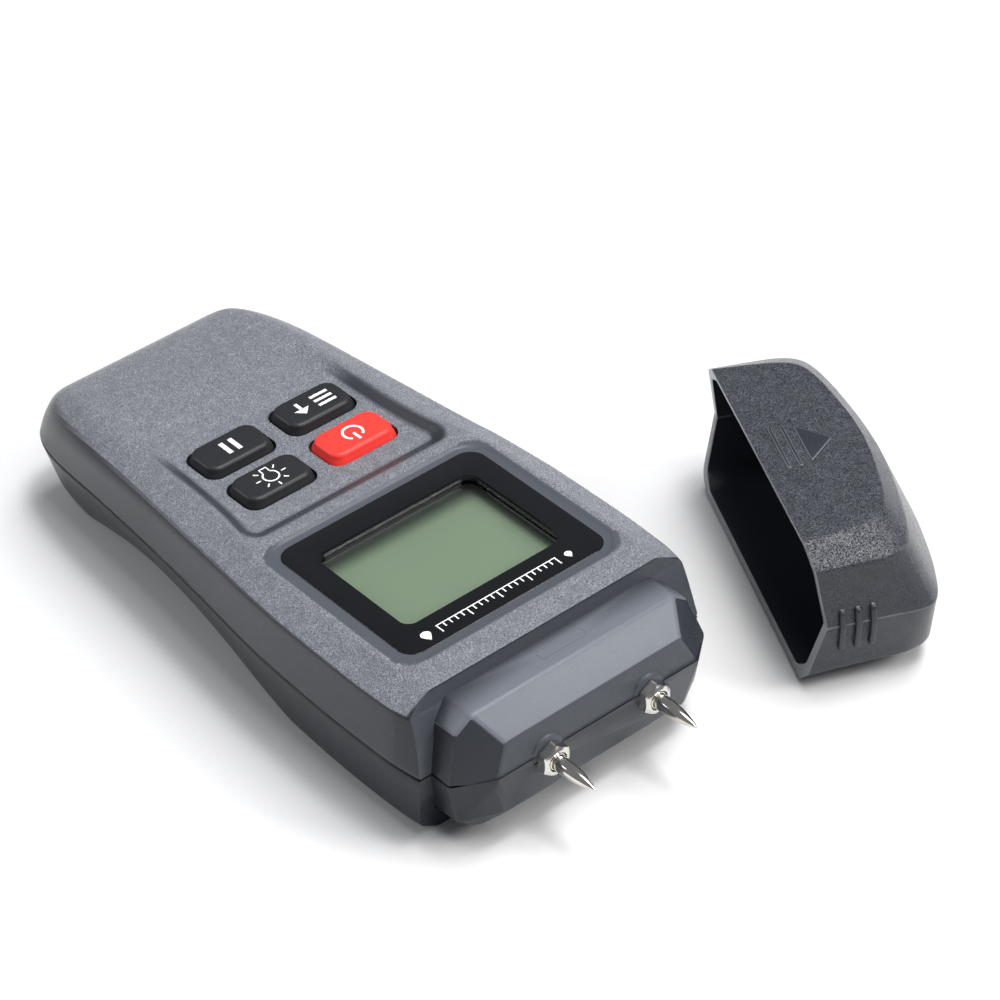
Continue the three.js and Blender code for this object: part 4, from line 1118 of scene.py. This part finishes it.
def cap_rule(p, n):
    q = p - np.array([CAP_POS[0], CAP_POS[1], 0])
    t = -math.radians(CAP_TURN)
    x = (q[:, 0] * math.cos(t) - q[:, 1] * math.sin(t)) / G
    y = (q[:, 0] * math.sin(t) + q[:, 1] * math.cos(t)) / G
    d = (CAP_H - p[:, 2]) / G
    nx = n[:, 0] * math.cos(t) - n[:, 1] * math.sin(t)
    ny = n[:, 0] * math.sin(t) + n[:, 1] * math.cos(t)
    rim = ny < -0.6
    inside = (nx * np.sign(x) < -0.3) | ((n[:, 2] < -0.5) & (d < 6)) | ((n[:, 2] > 0.5) & (d > 30)) | (ny < -0.3)
    tri = (d < -0.2) & (y > 6)
    rib = np.zeros(len(p), bool)
    for c in (8.2, 12.7, 17.1):
        rib |= (np.abs(y - c) < 1.0) & (np.abs(x) > 50.4) & (d > 17.8) & (d < 33.6)
    out = np.where((np.abs(nx) > 0.72) & (d > 5), 0.55, 1.0)
    out[rim | inside | tri | rib] = 0
    return out


paint_mask(front, front_rule)
paint_mask(rear, rear_rule)
paint_mask(door, rear_rule)
paint_mask(cap, cap_rule)
# masks of the painted highlights: paler patches painted in fixed places where light is reflected
paint_mask(front, front_painted_highlight_rule, "painted_highlight")
paint_mask(rear, nose_painted_highlight, "painted_highlight")
paint_mask(door, lambda p, n: np.zeros(len(p)), "painted_highlight")
paint_mask(cap, cap_painted_highlight, "painted_highlight")


# ---------------------------------------------------------------- put pieces on their bodies
def put(ob, body, nodes, mat, angle=32):
    ob.data.materials.clear()
    ob.data.materials.append(M[mat])
    smooth(ob, angle)
    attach(ob, body)
    if nodes:
        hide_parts(*nodes)
    return ob


put(front, "meter", ["front_shell"], "front")
put(rear, "meter", ["rear_shell"], "rear")
put(door, "battery_door", ["battery_door"], "rear")
put(bezel, "meter", ["display_bezel"], "bezel")
put(lens, "meter", ["display_lens"], "window")
put(glass, "meter", ["lcd_panel"], "lcd")
put(lcd_frame, "meter", ["lcd_frame"], "dark")
put(scale, "meter", [], "ink")
for n, ob in key_obs.items():
    put(ob, "key_" + n, ["key_" + n], "red" if n == "power" else "black_key", 40)
    put(ink[n], "key_" + n, [], "ink")
for side in ("left", "right"):
    put(pins[side], "meter", ["pin_" + side], "pin", 40)
    put(collars[side], "meter", ["pin_nut_" + side], "collar", 22)
put(cap, "protective_cap", ["protective_cap"], "cap", 28)
for i, sc in enumerate(screws):
    put(sc, "meter", ["case_screw_%d" % (i + 1)], "steel")

CARRIED = {"backlight_panel": "white", "zebra_strip": "silicone", "main_board": "board", "keypad_web": "silicone", "controller_chip": "chip", "amplifier_chip": "chip", "capacitor": "navy",
           "battery_contact_front": "steel", "battery_contact_rear": "steel", "battery_pad": "foam"}
for k in KEYS:
    CARRIED["switch_" + k] = "chip"
for s in ("left", "right"):
    CARRIED["pin_socket_" + s] = "brass"
    CARRIED["contact_strip_" + s] = "brass"
for i in (1, 2, 3):
    CARRIED["battery_cell_%d" % i] = "blue"
for i in (1, 2, 3, 4):
    CARRIED["board_screw_%d" % i] = "steel"
for n, k in CARRIED.items():
    ob = NODES[n]
    if not ob.material_slots:
        ob.data.materials.append(M[k])
    for s in ob.material_slots:
        s.material = M[k]

# ---------------------------------------------------------------- floor, light, camera
fl = make("floor", [(-2500, -2500, 0), (2500, -2500, 0), (2500, 2500, 0), (-2500, 2500, 0)], [(0, 1, 2, 3)])
fl.location.z = -0.00005
m, nt, b = new_mat("floor_pale")
nn = node(nt, "ShaderNodeTexNoise", Scale=14.0, Detail=4.0)
nt.links.new(coords(nt), nn.inputs["Vector"])
mx_ = node(nt, "ShaderNodeMix", data_type="RGBA")
mx_.inputs[6].default_value = (0.735, 0.735, 0.74, 1)
mx_.inputs[7].default_value = (0.765, 0.765, 0.765, 1)
nt.links.new(nn.outputs["Fac"], mx_.inputs[0])
nt.links.new(mx_.outputs[2], b.inputs["Base Color"])
b.inputs["Roughness"].default_value = 0.8
b.inputs["Specular IOR Level"].default_value = 0.1
fl.data.materials.append(m)

centre = Vector((-0.01, 0.0, 0.015))


def area(name, pos, size, power, colour=(1, 1, 1), size_y=None, target=centre):
    d = bpy.data.lights.new(name, "AREA")
    d.shape = "RECTANGLE"
    d.size, d.size_y = size, size_y or size
    d.energy, d.color = power, colour
    o = bpy.data.objects.new(name, d)
    bpy.context.scene.collection.objects.link(o)
    o.location = pos
    o.rotation_euler = (target - Vector(pos)).to_track_quat("-Z", "Y").to_euler()
    return o


area("soft_top", (-0.03, 0.46, 1.12), 0.5, 5.0, (1.0, 1.0, 1.0))
area("soft_glint", (-0.14, 0.25, 1.06), 0.2, 2.4, (1.0, 1.0, 1.0))
area("soft_over", (-0.35, 0.05, 1.04), 0.5, 8.0, (1.0, 1.0, 1.0))
area("soft_front", (-0.70, 0.88, 0.80), 0.42, 8.5, (1.0, 0.995, 0.985))
area("soft_back", (0.80, -0.88, 0.66), 0.45, 4.5, (0.98, 0.99, 1.0))
w = bpy.context.scene.world or bpy.data.worlds.new("studio")
bpy.context.scene.world = w
w.use_nodes = True
bg = next(n for n in w.node_tree.nodes if n.type == "BACKGROUND")
bg.inputs["Color"].default_value = (0.93, 0.95, 1.0, 1)
bg.inputs["Strength"].default_value = 0.22

bpy.context.scene.view_settings.view_transform = "Standard"

cam = bpy.data.objects.new("camera", bpy.data.cameras.new("camera"))
bpy.context.scene.collection.objects.link(cam)
cam.data.sensor_width = 36.0
cam.data.lens = 131.08
cam.data.clip_start = 0.01
R = Matrix(((-0.7656, -0.4277, 0.4806), (0.6413, -0.4485, 0.6225), (-0.0507, 0.7848, 0.6176))).to_4x4()
cam.matrix_world = Matrix.Translation((0.29985, 0.40619, 0.43701)) @ R
bpy.context.scene.camera = cam

bpy.context.view_layer.update()
